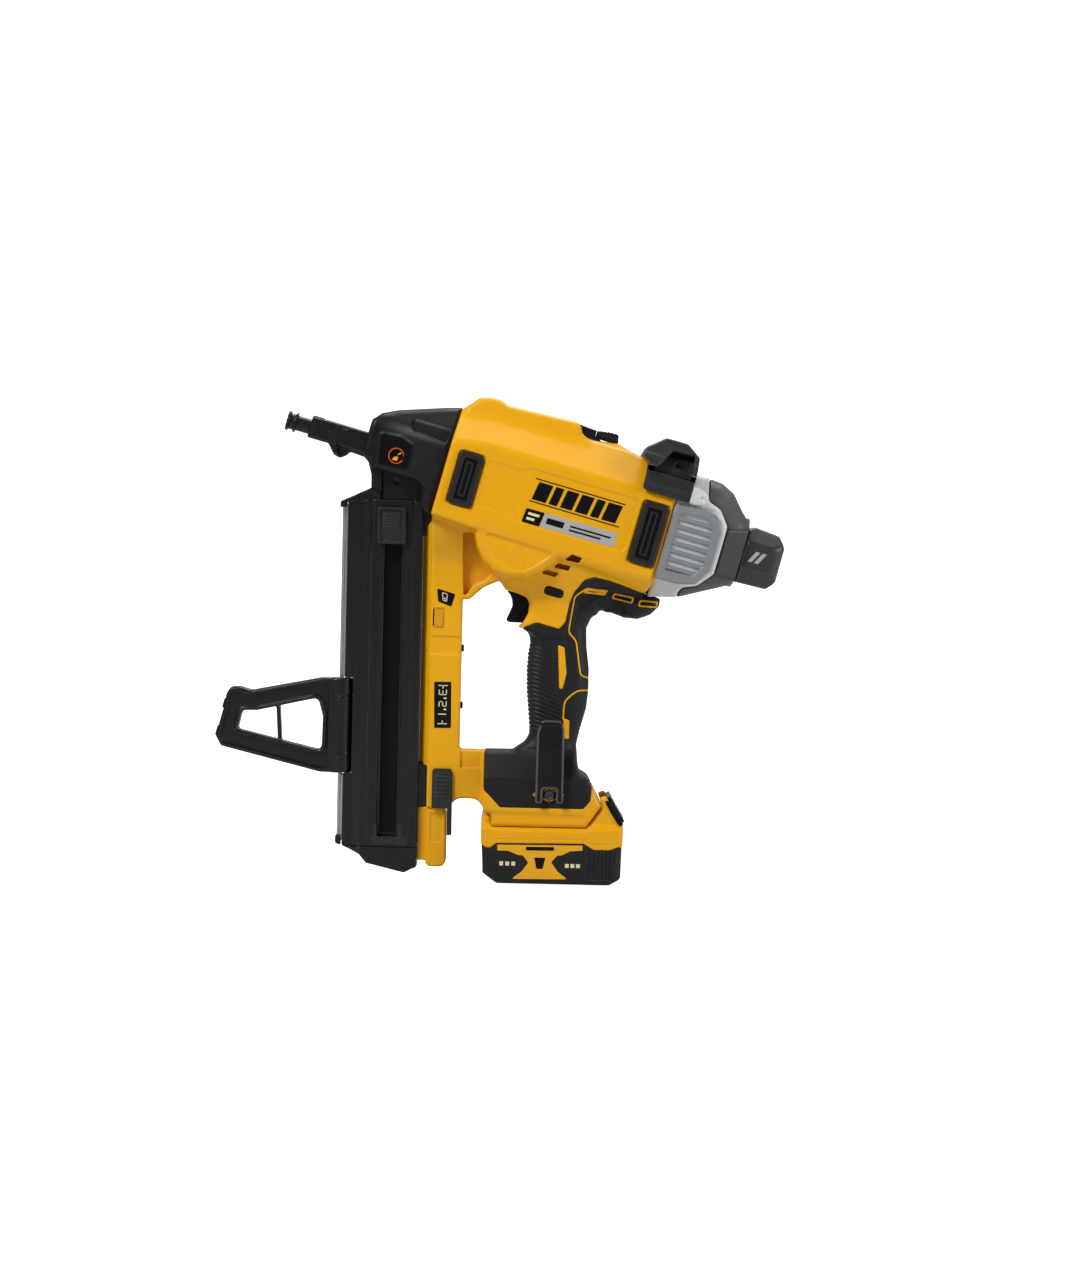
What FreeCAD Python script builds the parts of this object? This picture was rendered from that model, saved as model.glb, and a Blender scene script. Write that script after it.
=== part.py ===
import FreeCAD, Part
import math
import os
import re
import Sketcher

# A cordless pin nailer for concrete and steel, with a flywheel drive and a slide-on battery.
# Frame: origin at the centre of the battery's base, +X to the rear of the tool, +Y to its
# right-hand side, +Z up. The drive line is tilted nose-up: positions along it are measured
# from the nose tip as "along" (rearwards), y (to the right) and "above" (square to the line).

Vector = FreeCAD.Vector
document = FreeCAD.newDocument("pin_nailer")

# ---------------------------------------------------------------- driving dimensions (mm, degrees)
SIZES = {
    # where the drive line starts, and its tilt
    "tip_x": -229.8, "tip_z": 382.3, "drive_tilt": 15,
    # contact trip and nose
    "tip_flange_radius": 8.2, "trip_radius": 6.4, "trip_sleeve_end": 46, "trip_travel": 11.3,
    "nose_block_front": 20, "nose_block_half": 9, "nose_block_half_width": 11,
    "nose_cover_front": 70, "nose_seam": 138.5, "nose_half_width": 30, "nose_wall": 2.5,
    "channel_radius": 2.3, "blade_radius": 1.9,
    # driver, its guide rods and bumpers
    "stroke": 106, "blade_tip": 118, "carriage_front": 238, "carriage_length": 81,
    "carriage_half_width": 8, "carriage_depth": 17.5, "carriage_top": 8,
    "ear_front": 262, "ear_length": 18, "rod_radius": 3, "rod_offset": 18,
    "spring_wire": 1.1, "bumper_gap": 1,
    # drive frame
    "frame_front": 119, "frame_low": 15, "frame_high": 24, "frame_wall": 3,
    "frame_half_width": 29, "frame_nose_half_width": 26,
    # flywheel motor
    "flywheel_along": 214, "flywheel_radius": 26, "flywheel_gap": 0.5, "flywheel_half_width": 9,
    "flywheel_rim": 5, "hub_width": 4, "bearing_radius": 6, "axle_radius": 3, "stator_gap": 1,
    # pinch roller, its arm and the solenoid
    "roller_radius": 7, "roller_gap": 2, "roller_pin_radius": 2,
    "pinch_pivot_along": 248, "pinch_pivot_above": 18,
    "trunnion_radius": 2.5, "solenoid_radius": 11, "solenoid_above": 38, "plunger_radius": 4,
    # fits
    "running": 0.05, "free_gap": 0.4, "slide_gap": 0.6,
    # yellow housing
    "barrel_half_width": 44, "barrel_low": -42, "ridge_high": 65.5, "rear_high": 51,
    "rear_seam": 330, "housing_wall": 3, "pod_half_width": 37, "pod_margin": 5.3,
    "barrel_rounding": 9,
    # trigger zone, grip and base
    "zone_half_width": 23, "grip_half_width": 20, "grip_skin": 3, "grip_front": -22,
    "grip_rear": 26, "base_half_width": 37, "base_skin": 2.5, "base_low": 48.2, "skirt_top": 64,
    "tower_front": -106, "tower_rear": -81, "tower_half_width": 15, "tower_low": 61,
    "arm_low": 69, "arm_high": 109,
    # rear end
    "ring_half_width": 42, "ring_rear": 378, "dome_half_width": 38, "dome_rear": 396,
    "cap_rear": 430, "cap_radius": 24.5, "panel_thickness": 4,
    # pads, lever and slider on the barrel
    "pad_thickness": 3, "lever_gap": 0.6, "lever_thickness": 4, "lever_pin_radius": 3,
    "lever_pivot_along": 350.3, "lever_pivot_above": 32.8, "slider_half_width": 6,
    # controls
    "trigger_half_width": 7.5, "trigger_pin_radius": 1.5, "button_radius": 3, "lock_half_width": 25,
    "lock_middle": -2.6, "lock_reach": 7.2, "lock_half": 3.1,
    # magazine
    "magazine_front": -178, "magazine_rear": -113.5, "magazine_half_width": 14,
    "magazine_low": 27, "magazine_drop": 65.3, "strip_half_width": 3.2, "magazine_rod_radius": 1.75,
    "window_front": -147.5, "window_rear": -129, "window_low": 36, "pusher_height": 31,
    "shoe_half_width": 9,
    # support foot
    "foot_half_width": 9.5, "foot_knuckle_radius": 5.6, "foot_low": 88, "foot_high": 167,
    # battery
    "battery_length": 118, "battery_half_width": 38, "battery_split": 33, "battery_top": 47.8,
    "battery_wall": 3, "rail_half_width": 25.5, "rail_neck": 21, "rail_lip": 4.2, "rail_top": 57,
    "cell_radius": 9.1, "cell_length": 65, "cell_pitch": 19.2,
    # belt hook
    "hook_half_width": 10.5, "hook_middle": -3.5, "hook_top": 137, "hook_wire": 3.6,
    "hook_reach": 7,
    # screws
    "screw_radius": 1.7, "screw_head_radius": 3.4, "screw_head": 2, "boss_radius": 3.8,
}

sheet = document.addObject("Spreadsheet::Sheet", "dims")
for row, (name, value) in enumerate(SIZES.items(), start=1):
    sheet.set(f"A{row}", name)
    sheet.set(f"B{row}", str(value))
    sheet.setAlias(f"B{row}", name)
document.recompute()

DRIVE = ("create(<<placement>>; create(<<vector>>; dims.tip_x; 0; dims.tip_z);"
         " create(<<rotation>>; create(<<vector>>; 0; 1; 0); dims.drive_tilt))")
TURNS = {
    "sketch": "create(<<rotation>>; create(<<vector>>; 1; 0; 0); 90)",
    "x": "create(<<rotation>>; create(<<vector>>; 0; 1; 0); 90)",
    "y": "create(<<rotation>>; create(<<vector>>; 1; 0; 0); -90)",
    "z": "create(<<rotation>>; create(<<vector>>; 0; 0; 1); 0)",
}


# ---------------------------------------------------------------- helpers
def bound(text):
    """A size written with the sheet's names, as an expression that reads the sheet."""
    return re.sub(r"[A-Za-z_]\w*", lambda word: "dims." + word.group(0)
                  if word.group(0) in SIZES else word.group(0), str(text))


def place(thing, x, y, z, turn="z", drive=False):
    """Bind a thing's Placement to the sheet, in the tool's frame or on the drive line."""
    spot = f"create(<<vector>>; {bound(x)}; {bound(y)}; {bound(z)})"
    local = f"create(<<placement>>; {spot}; {TURNS[turn]})"
    thing.setExpression("Placement", f"{DRIVE} * {local}" if drive else local)
    return thing


def box(name, x, y, z, drive=False):
    """A block between the (low, high) pairs x, y and z."""
    block = document.addObject("Part::Box", name)
    for side, (low, high) in zip(("Length", "Width", "Height"), (x, y, z)):
        block.setExpression(side, f"({bound(high)}) - ({bound(low)})")
    return place(block, x[0], y[0], z[0], drive=drive)


def rod(name, axis, start, end, first, second, radius, drive=False):
    """A cylinder along an axis. first and second are its other two coordinates, in x, y, z order."""
    bar = document.addObject("Part::Cylinder", name)
    bar.setExpression("Radius", bound(radius))
    bar.setExpression("Height", f"({bound(end)}) - ({bound(start)})")
    spot = {"x": (start, first, second), "y": (first, start, second), "z": (first, second, start)}
    return place(bar, *spot[axis], turn=axis, drive=drive)


def taper(name, start, end, above, first_radius, last_radius):
    """A cone along the drive line."""
    cone = document.addObject("Part::Cone", name)
    cone.setExpression("Radius1", bound(first_radius))
    cone.setExpression("Radius2", bound(last_radius))
    cone.setExpression("Height", f"({bound(end)}) - ({bound(start)})")
    return place(cone, start, 0, above, turn="x", drive=True)


def draw(sketch, corners):
    """Add a closed outline whose corners are each held by two distances from the origin."""
    first = sketch.GeometryCount
    count = len(corners)
    ring = [Vector(math.cos(2 * math.pi * i / count), math.sin(2 * math.pi * i / count), 0)
            for i in range(count)]
    for i in range(count):
        sketch.addGeometry(Part.LineSegment(ring[i], ring[(i + 1) % count]), False)
    for i in range(count):
        sketch.addConstraint(Sketcher.Constraint(
            "Coincident", first + i, 2, first + (i + 1) % count, 1))
    for i, (across, up) in enumerate(corners):
        for kind, size in (("DistanceX", across), ("DistanceY", up)):
            index = sketch.addConstraint(Sketcher.Constraint(kind, -1, 1, first + i, 1, 1.0))
            sketch.setExpression(f"Constraints[{index}]", bound(size))


def outline(name, corners, drive=False):
    """A closed sketch in the tool's side view: across is x or along, up is z or above."""
    sketch = document.addObject("Sketcher::SketchObject", name + "_outline")
    place(sketch, 0, 0, 0, turn="sketch", drive=drive)
    draw(sketch, corners)
    return sketch


def slab(name, sketch, near, far, side=-1, inset=None):
    """A sketch, or the same sketch drawn smaller by inset, thick from near to far on one side."""
    base = sketch
    if inset is not None:
        base = document.addObject("Part::Offset2D", name + "_inset")
        base.Source = sketch
        base.Join = "Tangent"
        base.setExpression("Value", f"-({bound(inset)})")
    block = document.addObject("Part::Extrusion", name)
    block.Base = base
    block.DirMode = "Custom"
    block.Dir = Vector(0, side, 0)
    block.Solid = True
    block.setExpression("LengthFwd", bound(far))
    block.setExpression("LengthRev", f"-({bound(near)})")
    return block


def plate(label, corners, low, high, drive=False, holes=()):
    """A piece made as one padded sketch between y = low and y = high, with outlines cut out."""
    body = document.addObject("PartDesign::Body", label)
    body.Label = label
    sketch = body.newObject("Sketcher::SketchObject", label + "_sketch")
    plane = [part for part in body.Origin.OriginFeatures if part.Role == "XZ_Plane"][0]
    sketch.AttachmentSupport = [(plane, "")]
    sketch.MapMode = "FlatFace"
    sketch.setExpression("AttachmentOffset.Base.z", f"-({bound(high)})")
    draw(sketch, corners)
    for hole in holes:
        draw(sketch, hole)
    pad = body.newObject("PartDesign::Pad", label + "_pad")
    pad.Profile = sketch
    pad.setExpression("Length", f"({bound(high)}) - ({bound(low)})")
    body.Tip = pad
    place(body, 0, 0, 0, drive=drive)
    return body


def fuse(name, parts):
    """Several solids as one."""
    if len(parts) == 1:
        return parts[0]
    joined = document.addObject("Part::MultiFuse", name)
    joined.Shapes = parts
    return joined


def cut(name, base, tools):
    """base with every tool taken away."""
    result = document.addObject("Part::Cut", name)
    result.Base = base
    result.Tool = fuse(name + "_tools", tools)
    return result


def group(name, parts):
    """Separate solids kept together as one node."""
    together = document.addObject("Part::Compound", name)
    together.Links = parts
    return together


def rounded(name, base, radius, half_width):
    """Round the long edges where a block meets its outer side faces."""
    document.recompute()
    size = sheet.get(radius)
    reach = sheet.get(half_width)
    fillet = document.addObject("Part::Fillet", name)
    fillet.Base = base
    fillet.Edges = [(i, size, size) for i, edge in enumerate(base.Shape.Edges, start=1)
                    if edge.BoundBox.YLength < 1e-6 and abs(abs(edge.CenterOfMass.y) - reach) < 1e-6]
    return fillet


NODES = {}


def node(label, thing):
    """Keep a finished sub-part under its own name."""
    thing.Label = label
    NODES[label] = thing
    return thing


# ---------------------------------------------------------------- outlines shared by several pieces
FLYWHEEL_ABOVE = "-(carriage_depth + flywheel_gap + flywheel_radius)"
ROLLER_ABOVE = "carriage_top + roller_gap + roller_radius"

BARREL = [("nose_seam", "barrel_low"), ("nose_seam", "ridge_high - 15"),
          ("nose_seam + 11", "ridge_high - 4.5"), ("nose_seam + 22", "ridge_high"),
          ("232", "ridge_high + 0.5"), ("240", "ridge_high - 5"), ("254", "ridge_high - 9.5"),
          ("rear_seam - 37", "ridge_high - 12"), ("rear_seam", "rear_high"),
          ("rear_seam", "barrel_low")]

# share of the pod's reach in front of (-) or behind the flywheel's axle, and below it
POD_STEPS = [(-1.0, -0.4), (-1.0, 0.0), (-0.78, 0.49), (-0.5, 0.82), (-0.17, 1.0),
             (0.17, 0.95), (0.49, 0.79), (0.77, 0.44), (1.0, 0.0), (1.0, -0.4)]
POD = [(f"flywheel_along + {across} * (flywheel_radius + 2 * pod_margin)",
        f"{FLYWHEEL_ABOVE} - ({down}) * (flywheel_radius + pod_margin)")
       for across, down in POD_STEPS]

ZONE = [("-48.6", "tip_z - 130.5"), ("-42", "tip_z - 138.5"), ("-27", "tip_z - 142"),
        ("grip_front - 0.5", "tip_z - 160"), ("-1.5", "tip_z - 169"), ("5.2", "tip_z - 165.7"),
        ("15.4", "tip_z - 136"), ("32.8", "tip_z - 126.4"), ("70.3", "tip_z - 136"),
        ("77.4", "tip_z - 125"), ("76.5", "tip_z - 121"), ("-60", "tip_z - 90"),
        ("-66", "tip_z - 96")]

GRIP = [("grip_front + 1.1", "tip_z - 164.6"), ("-1.5", "tip_z - 169.2"),
        ("5.6", "tip_z - 165.9"), ("15.8", "tip_z - 136.4"), ("32.8", "tip_z - 127"),
        ("69.3", "tip_z - 136.6"), ("70.2", "tip_z - 141.3"), ("84.5", "tip_z - 142.3"),
        ("82.2", "tip_z - 152.1"),
        ("69.7", "tip_z - 160"), ("54.6", "tip_z - 160.3"), ("36", "tip_z - 154.9"),
        ("grip_rear + 0.9", "tip_z - 159.3"), ("grip_rear - 1.2", "tip_z - 178.7"),
        ("grip_rear + 1", "tip_z - 203.8"), ("grip_rear - 0.2", "tip_z - 224.8"),
        ("grip_rear - 4.4", "arm_high + 14.7"), ("grip_rear - 9", "arm_high - 14"),
        ("grip_front - 4", "arm_high - 9"), ("grip_front + 2.4", "arm_high + 13.8"),
        ("grip_front + 2.1", "arm_high + 26.4"), ("grip_front - 2", "tip_z - 213.4"),
        ("grip_front + 0.7", "tip_z - 183.9")]

BASE = [("-battery_length/2 + 0.5", "arm_high"), ("-battery_length/2 + 1", "arm_low + 9.3"),
        ("-battery_length/2 + 14.7", "skirt_top"), ("25.4", "skirt_top"), ("31.3", "72"),
        ("31.7", "82"), ("29.1", "87.8"), ("18.8", "arm_high - 13"), ("-20", "arm_high"),
        ("-28.6", "arm_high + 2")]

SKIRT = [("-battery_length/2 + 6.5", "base_low + 1"), ("-battery_length/2 + 12.5", "base_low"),
         ("27.5", "base_low"), ("39.4", "base_low + 21.5"), ("31.5", "base_low + 24"),
         ("25", "skirt_top + 4"), ("-battery_length/2 + 10", "skirt_top + 4"),
         ("-battery_length/2 + 6.5", "base_low + 9")]

TOWER = [("tower_front", "tower_low"), ("tower_rear - 5", "tower_low"), ("tower_rear + 1.3", "arm_low"),
         ("-battery_length/2 - 5.6", "arm_low"), ("-battery_length/2 + 6", "arm_low - 11"),
         ("-battery_length/2 + 12", "arm_high - 14"), ("-battery_length/2 + 6", "arm_high"),
         ("tower_rear + 1.5", "arm_high + 0.4"), ("tower_rear + 1.5", "tip_z - 147"),
         ("-67", "tip_z - 139"), ("-48.6", "tip_z - 131"), ("-60", "tip_z - 93"),
         ("tower_front", "tip_z - 70")]

RING = [("rear_seam", "barrel_low"), ("rear_seam", "rear_high"), ("rear_seam + 22", "rear_high + 1.7"),
        ("rear_seam + 30", "33"), ("ring_rear - 1.5", "18.6"), ("ring_rear", "-7"),
        ("ring_rear", "-29"), ("ring_rear - 22.5", "-41.8"), ("rear_seam + 23", "-51.3"),
        ("rear_seam - 3", "-57.2")]

DOME = [("rear_seam + 22", "rear_high + 1.7"), ("ring_rear - 10", "rear_high"),
        ("ring_rear", "45.4"), ("dome_rear - 9", "32.3"), ("dome_rear - 2", "26.4"),
        ("dome_rear", "20"), ("dome_rear - 1", "-27.6"), ("ring_rear - 5", "-41.1"),
        ("rear_seam + 23", "-51.3"), ("ring_rear - 22.5", "-41.8"), ("ring_rear", "-29"),
        ("ring_rear", "-7"), ("ring_rear - 1.5", "18.6"), ("rear_seam + 30", "33")]

NOSE = [("nose_cover_front", "-12"), ("nose_cover_front", "20"), ("nose_cover_front + 6", "28"),
        ("nose_cover_front + 19", "34"), ("nose_seam - 10.5", "47.9"), ("nose_seam", "ridge_high - 15"),
        ("nose_seam", "-40.3"), ("nose_seam - 7.5", "-42.7"), ("nose_seam - 16", "-21.5"),
        ("nose_cover_front + 14", "-20"), ("nose_cover_front + 7", "-15.5")]

barrel_sketch = outline("barrel", BARREL, drive=True)
pod_sketch = outline("pod", POD, drive=True)
zone_sketch = outline("zone", ZONE)
grip_sketch = outline("grip", GRIP)
base_sketch = outline("base", BASE)
skirt_sketch = outline("skirt", SKIRT)
tower_sketch = outline("tower", TOWER)

MAGAZINE_HIGH = "tip_z - magazine_drop"
SCREWS_ON_BARREL = [("nose_seam + 8", "ridge_high - 23"), ("rear_seam - 8", "rear_high - 11"),
                    ("nose_seam + 8", "barrel_low + 8"), ("rear_seam - 8", "barrel_low + 8")]
SCREWS_ON_HANDLE = [("tower_front + 12.5", "arm_high + 12"), ("tower_front + 12.5", "tip_z - 112"),
                    ("2", "arm_high + 20"), ("45", "tip_z - 145")]


# ---------------------------------------------------------------- yellow housing halves and grip skins
def screw_line(name, spot, start, end, radius, drive):
    """A cylinder across the tool at one screw."""
    return rod(name, "y", start, end, spot[0], spot[1], radius, drive=drive)


def screw_depth(index, drive):
    """How far out the right-hand face is at a screw."""
    if drive:
        return "barrel_half_width"
    return "tower_half_width" if index < 2 else "grip_half_width - grip_skin"


def every_screw():
    """(index, spot, drive, outer face) of each housing screw."""
    found = []
    for drive, spots in ((True, SCREWS_ON_BARREL), (False, SCREWS_ON_HANDLE)):
        for index, spot in enumerate(spots):
            found.append((index, spot, drive, screw_depth(index, drive)))
    return found


def outer_block(name, side):
    """The outside of one housing half, before it is hollowed."""
    barrel = rounded(name + "_barrel_round",
                     slab(name + "_barrel", barrel_sketch, "0", "barrel_half_width", side),
                     "barrel_rounding", "barrel_half_width")
    return fuse(name + "_outside", [
        barrel,
        slab(name + "_pod", pod_sketch, "0", "pod_half_width", side),
        slab(name + "_zone", zone_sketch, "0", "zone_half_width", side),
        slab(name + "_tower", tower_sketch, "0", "tower_half_width", side),
        slab(name + "_skirt", skirt_sketch, "0", "base_half_width - base_skin", side),
        slab(name + "_grip", grip_sketch, "0", "grip_half_width - grip_skin", side, "grip_skin"),
        slab(name + "_base", base_sketch, "0", "base_half_width - base_skin", side, "base_skin"),
    ])


def hollows(name, side):
    """Everything taken out of one housing half."""
    inside = [
        slab(name + "_barrel_hollow", barrel_sketch, "0", "barrel_half_width - housing_wall",
             side, "housing_wall"),
        slab(name + "_pod_hollow", pod_sketch, "0", "pod_half_width - housing_wall", side,
             "housing_wall"),
        slab(name + "_zone_hollow", zone_sketch, "0", "zone_half_width - housing_wall", side,
             "housing_wall"),
        slab(name + "_tower_hollow", tower_sketch, "0", "tower_half_width - housing_wall", side,
             "housing_wall"),
        slab(name + "_grip_hollow", grip_sketch, "0",
             "grip_half_width - grip_skin - housing_wall", side, "grip_skin + housing_wall"),
        slab(name + "_base_hollow", base_sketch, "0",
             "base_half_width - base_skin - housing_wall", side, "base_skin + housing_wall"),
    ]
    boxes = [
        # the barrel is open to the nose cover and to the rear ring
        (("nose_seam - 5", "nose_seam + 5"), "nose_half_width - nose_wall",
         ("barrel_low + housing_wall", "ridge_high - 24"), True),
        (("rear_seam - 5", "rear_seam + 5"), "ring_half_width - housing_wall",
         ("barrel_low + housing_wall", "rear_high - housing_wall"), True),
        # wire ways from the trigger zone down the grip to the base
        (("-12", "10"), "9", ("tip_z - 190", "tip_z - 150"), False),
        (("-12", "8"), "9", ("arm_high - 20", "arm_high + 20"), False),
        # slot that the trigger swings in
        (("grip_front - 24", "grip_front + 14"), "trigger_half_width + slide_gap",
         ("tip_z - 170", "tip_z - 138"), False),
        # battery slide: a neck between two lips, and room for the rail above them
        (("-battery_length/2 - 5", "60"), "rail_neck + free_gap",
         ("base_low - 5", "rail_top + free_gap"), False),
        (("-battery_length/2 - 5", "60"), "rail_half_width + free_gap",
         ("base_low + rail_lip - free_gap", "rail_top + free_gap"), False),
        # opening above the battery's terminals
        (("-32", "22"), "17", ("rail_top - 1", "skirt_top + 8"), False),
    ]
    for index, (x, half, z, drive) in enumerate(boxes):
        y = ("0", half) if side > 0 else (f"-({half})", "0")
        inside.append(box(f"{name}_way_{index}", x, y, z, drive))
    inside.append(box(name + "_lock_hole", ("lock_middle - lock_reach - free_gap",
                                            "lock_middle + lock_reach + free_gap"), ("-60", "60"),
                      ("tip_z - 138.2 - lock_half - free_gap", "tip_z - 138.2 + lock_half + free_gap")))
    for index, level in enumerate(("arm_high + 85.5", "arm_high + 37.7")):
        inside.append(rod(f"{name}_button_hole_{index}", "x", "tower_rear - 8", "tower_rear + 4",
                          "0", level, "button_radius + free_gap"))
    return inside


def housing_half(name, side):
    """One moulded half: hollowed, with screw bosses standing in the hollow."""
    shell = cut(name + "_shell", outer_block(name, side), hollows(name, side))
    solid = [shell]
    drilled = []
    for number, (index, spot, drive, face) in enumerate(every_screw()):
        reach = ("0", f"{face} - housing_wall + 0.5")
        if side < 0:
            reach = (f"-({reach[1]})", "0")
        solid.append(screw_line(f"{name}_boss_{number}", spot, *reach, "boss_radius", drive))
        drilled.append(screw_line(f"{name}_pilot_{number}", spot, "-10" if side < 0 else "-1",
                                  f"{face} + 5" if side > 0 else "1", "screw_radius", drive))
        if side > 0:
            drilled.append(screw_line(f"{name}_sink_{number}", spot, f"{face} - screw_head - 1",
                                      f"{face} + 5", "screw_head_radius", drive))
    return cut(name, fuse(name + "_solid", solid), drilled)


def grip_skin(name, side):
    """The soft grip moulded over one housing half."""
    over = fuse(name + "_over", [
        slab(name + "_grip", grip_sketch, "0", "grip_half_width", side),
        slab(name + "_base", base_sketch, "0", "base_half_width", side),
    ])
    tools = [outer_block(name + "_core", side)]
    tools.append(box(name + "_slot", ("grip_front - 8", "grip_front + 14"),
                     ("-trigger_half_width - slide_gap", "trigger_half_width + slide_gap"),
                     ("tip_z - 170", "tip_z - 138")))
    tools.append(slab(name + "_core_hollow", grip_sketch, "0",
                      "grip_half_width - grip_skin", side, "grip_skin"))
    for number, (index, spot, drive, face) in enumerate(every_screw()):
        if side > 0 and not drive and index > 1:
            tools.append(screw_line(f"{name}_sink_{number}", spot, f"{face} - 1", f"{face} + 10",
                                    "screw_head_radius", drive))
    return cut(name, over, tools)


node("housing_left", housing_half("left_half", -1))
node("housing_right", housing_half("right_half", 1))
node("grip_skin_left", grip_skin("left_skin", -1))
node("grip_skin_right", grip_skin("right_skin", 1))


def housing_screws():
    """The screws that close the housing, put in from the right-hand side."""
    screws = []
    for number, (index, spot, drive, face) in enumerate(every_screw()):
        head = screw_line(f"screw_head_{number}", spot, f"{face} - screw_head - 1", f"{face} - 1",
                          "screw_head_radius", drive)
        shank = screw_line(f"screw_shank_{number}", spot, "-9.5", f"{face} - screw_head",
                           "screw_radius", drive)
        screws.append(fuse(f"screw_{number}", [head, shank]))
    return group("screws", screws)


node("housing_screws", housing_screws())


# ---------------------------------------------------------------- nose
def contact_trip():
    """The tube pressed against the work, which slides back into the nose block."""
    shell = fuse("trip_solid", [
        rod("trip_flange", "x", "0", "2.2", "0", "0", "tip_flange_radius", True),
        rod("trip_neck", "x", "0", "10", "0", "0", "trip_radius - 0.2", True),
        rod("trip_stop", "x", "nose_block_front - trip_travel - 1.7",
            "nose_block_front - trip_travel - 0.1", "0", "0", "tip_flange_radius + 0.2", True),
        rod("trip_sleeve", "x", "8", "trip_sleeve_end", "0", "0", "trip_radius", True),
    ])
    bore = rod("trip_bore", "x", "-1", "trip_sleeve_end + 1", "0", "0", "channel_radius", True)
    return cut("contact_trip", shell, [bore])


def nose_block():
    """The steel nose that the pins are fed into and that the contact trip slides in."""
    block = fuse("block_solid", [
        box("block", ("nose_block_front", "frame_front"),
            ("-nose_block_half_width", "nose_block_half_width"),
            ("-nose_block_half", "nose_block_half"), True),
        box("block_lug", ("nose_block_front + 22", "nose_cover_front"), ("-4", "4"),
            ("-nose_block_half - 8", "-nose_block_half + 1"), True),
        box("block_pad", ("nose_block_front", "nose_block_front + 10"), ("-5", "5"),
            ("nose_block_half - 1", "nose_block_half + 1"), True),
    ])
    sleeve_end = "trip_sleeve_end + trip_travel + 0.7"
    return cut("nose_block", block, [
        rod("block_sleeve", "x", "nose_block_front - 1", sleeve_end, "0", "0",
            "trip_radius + running", True),
        rod("block_channel", "x", "nose_block_front", "frame_front + 1", "0", "0",
            "channel_radius", True),
        box("block_feed", ("trip_sleeve_end + trip_travel + 3", "frame_front + 1"),
            ("-channel_radius", "channel_radius"), ("-nose_block_half - 1", "0"), True),
    ])


def nose_cover():
    """The moulded cover round the nose, open to the front, the rear and the magazine."""
    sketch = outline("nose", NOSE, drive=True)
    outside = fuse("nose_outside", [slab("nose_left", sketch, "0", "nose_half_width", -1),
                                    slab("nose_right", sketch, "0", "nose_half_width", 1)])
    inside = [slab("nose_hollow_left", sketch, "-1", "nose_half_width - nose_wall", -1, "nose_wall"),
              slab("nose_hollow_right", sketch, "-1", "nose_half_width - nose_wall", 1, "nose_wall")]
    inside.append(box("nose_rear_way", ("nose_seam - 6", "nose_seam + 1"),
                      ("-nose_half_width + nose_wall", "nose_half_width - nose_wall"),
                      ("-37", "ridge_high - 21"), True))
    inside.append(box("nose_front_way", ("nose_cover_front - 1", "nose_cover_front + 9"),
                      ("-nose_block_half_width", "nose_block_half_width + 4.2"),
                      ("-nose_block_half - 0.1", "nose_block_half + 0.1"), True))
    inside.append(box("nose_magazine_way", ("magazine_front", "magazine_rear + 0.4"),
                      ("-magazine_half_width - free_gap", "magazine_half_width + free_gap"),
                      ("tip_z - 80", "tip_z - 38")))
    inside.append(box("nose_neck_way", ("magazine_front + 17", "magazine_front + 40"), ("-8", "8"),
                      ("tip_z - 45", "tip_z - 29")))
    return cut("nose_cover", outside, inside)


def trip_arm():
    """The flat strip that carries the contact trip's movement back, on the right-hand side."""
    arm = fuse("arm_solid", [
        box("arm_tab", ("3", "6.5"), ("5", "nose_block_half_width + 3.4"), ("-3", "3"), True),
        box("arm_strip", ("3", "nose_cover_front + 8"),
            ("nose_block_half_width + 0.6", "nose_block_half_width + 3.4"), ("-3", "3"), True),
        box("arm_end", ("nose_cover_front + 5", "nose_cover_front + 8"),
            ("nose_block_half_width + 0.6", "nose_block_half_width + 9"), ("-3", "3"), True),
    ])
    return cut("trip_arm", arm, [rod("arm_neck", "x", "0", "10", "0", "0", "trip_radius - 0.2", True)])


def tube(name, start, end, across, above, outer, inner):
    """A sleeve along the drive line."""
    return cut(name, rod(name + "_outside", "x", start, end, across, above, outer, True),
               [rod(name + "_bore", "x", f"{start} - 1", f"{end} + 1", across, above, inner, True)])


node("contact_trip", contact_trip())
node("nose_block", nose_block())
node("nose_cover", nose_cover())
node("trip_arm", trip_arm())
node("trip_spring", tube("trip_coil", "nose_cover_front + 8", "frame_front",
                         "nose_block_half_width + 5.5", "0", "2.8", "1.8"))


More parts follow.
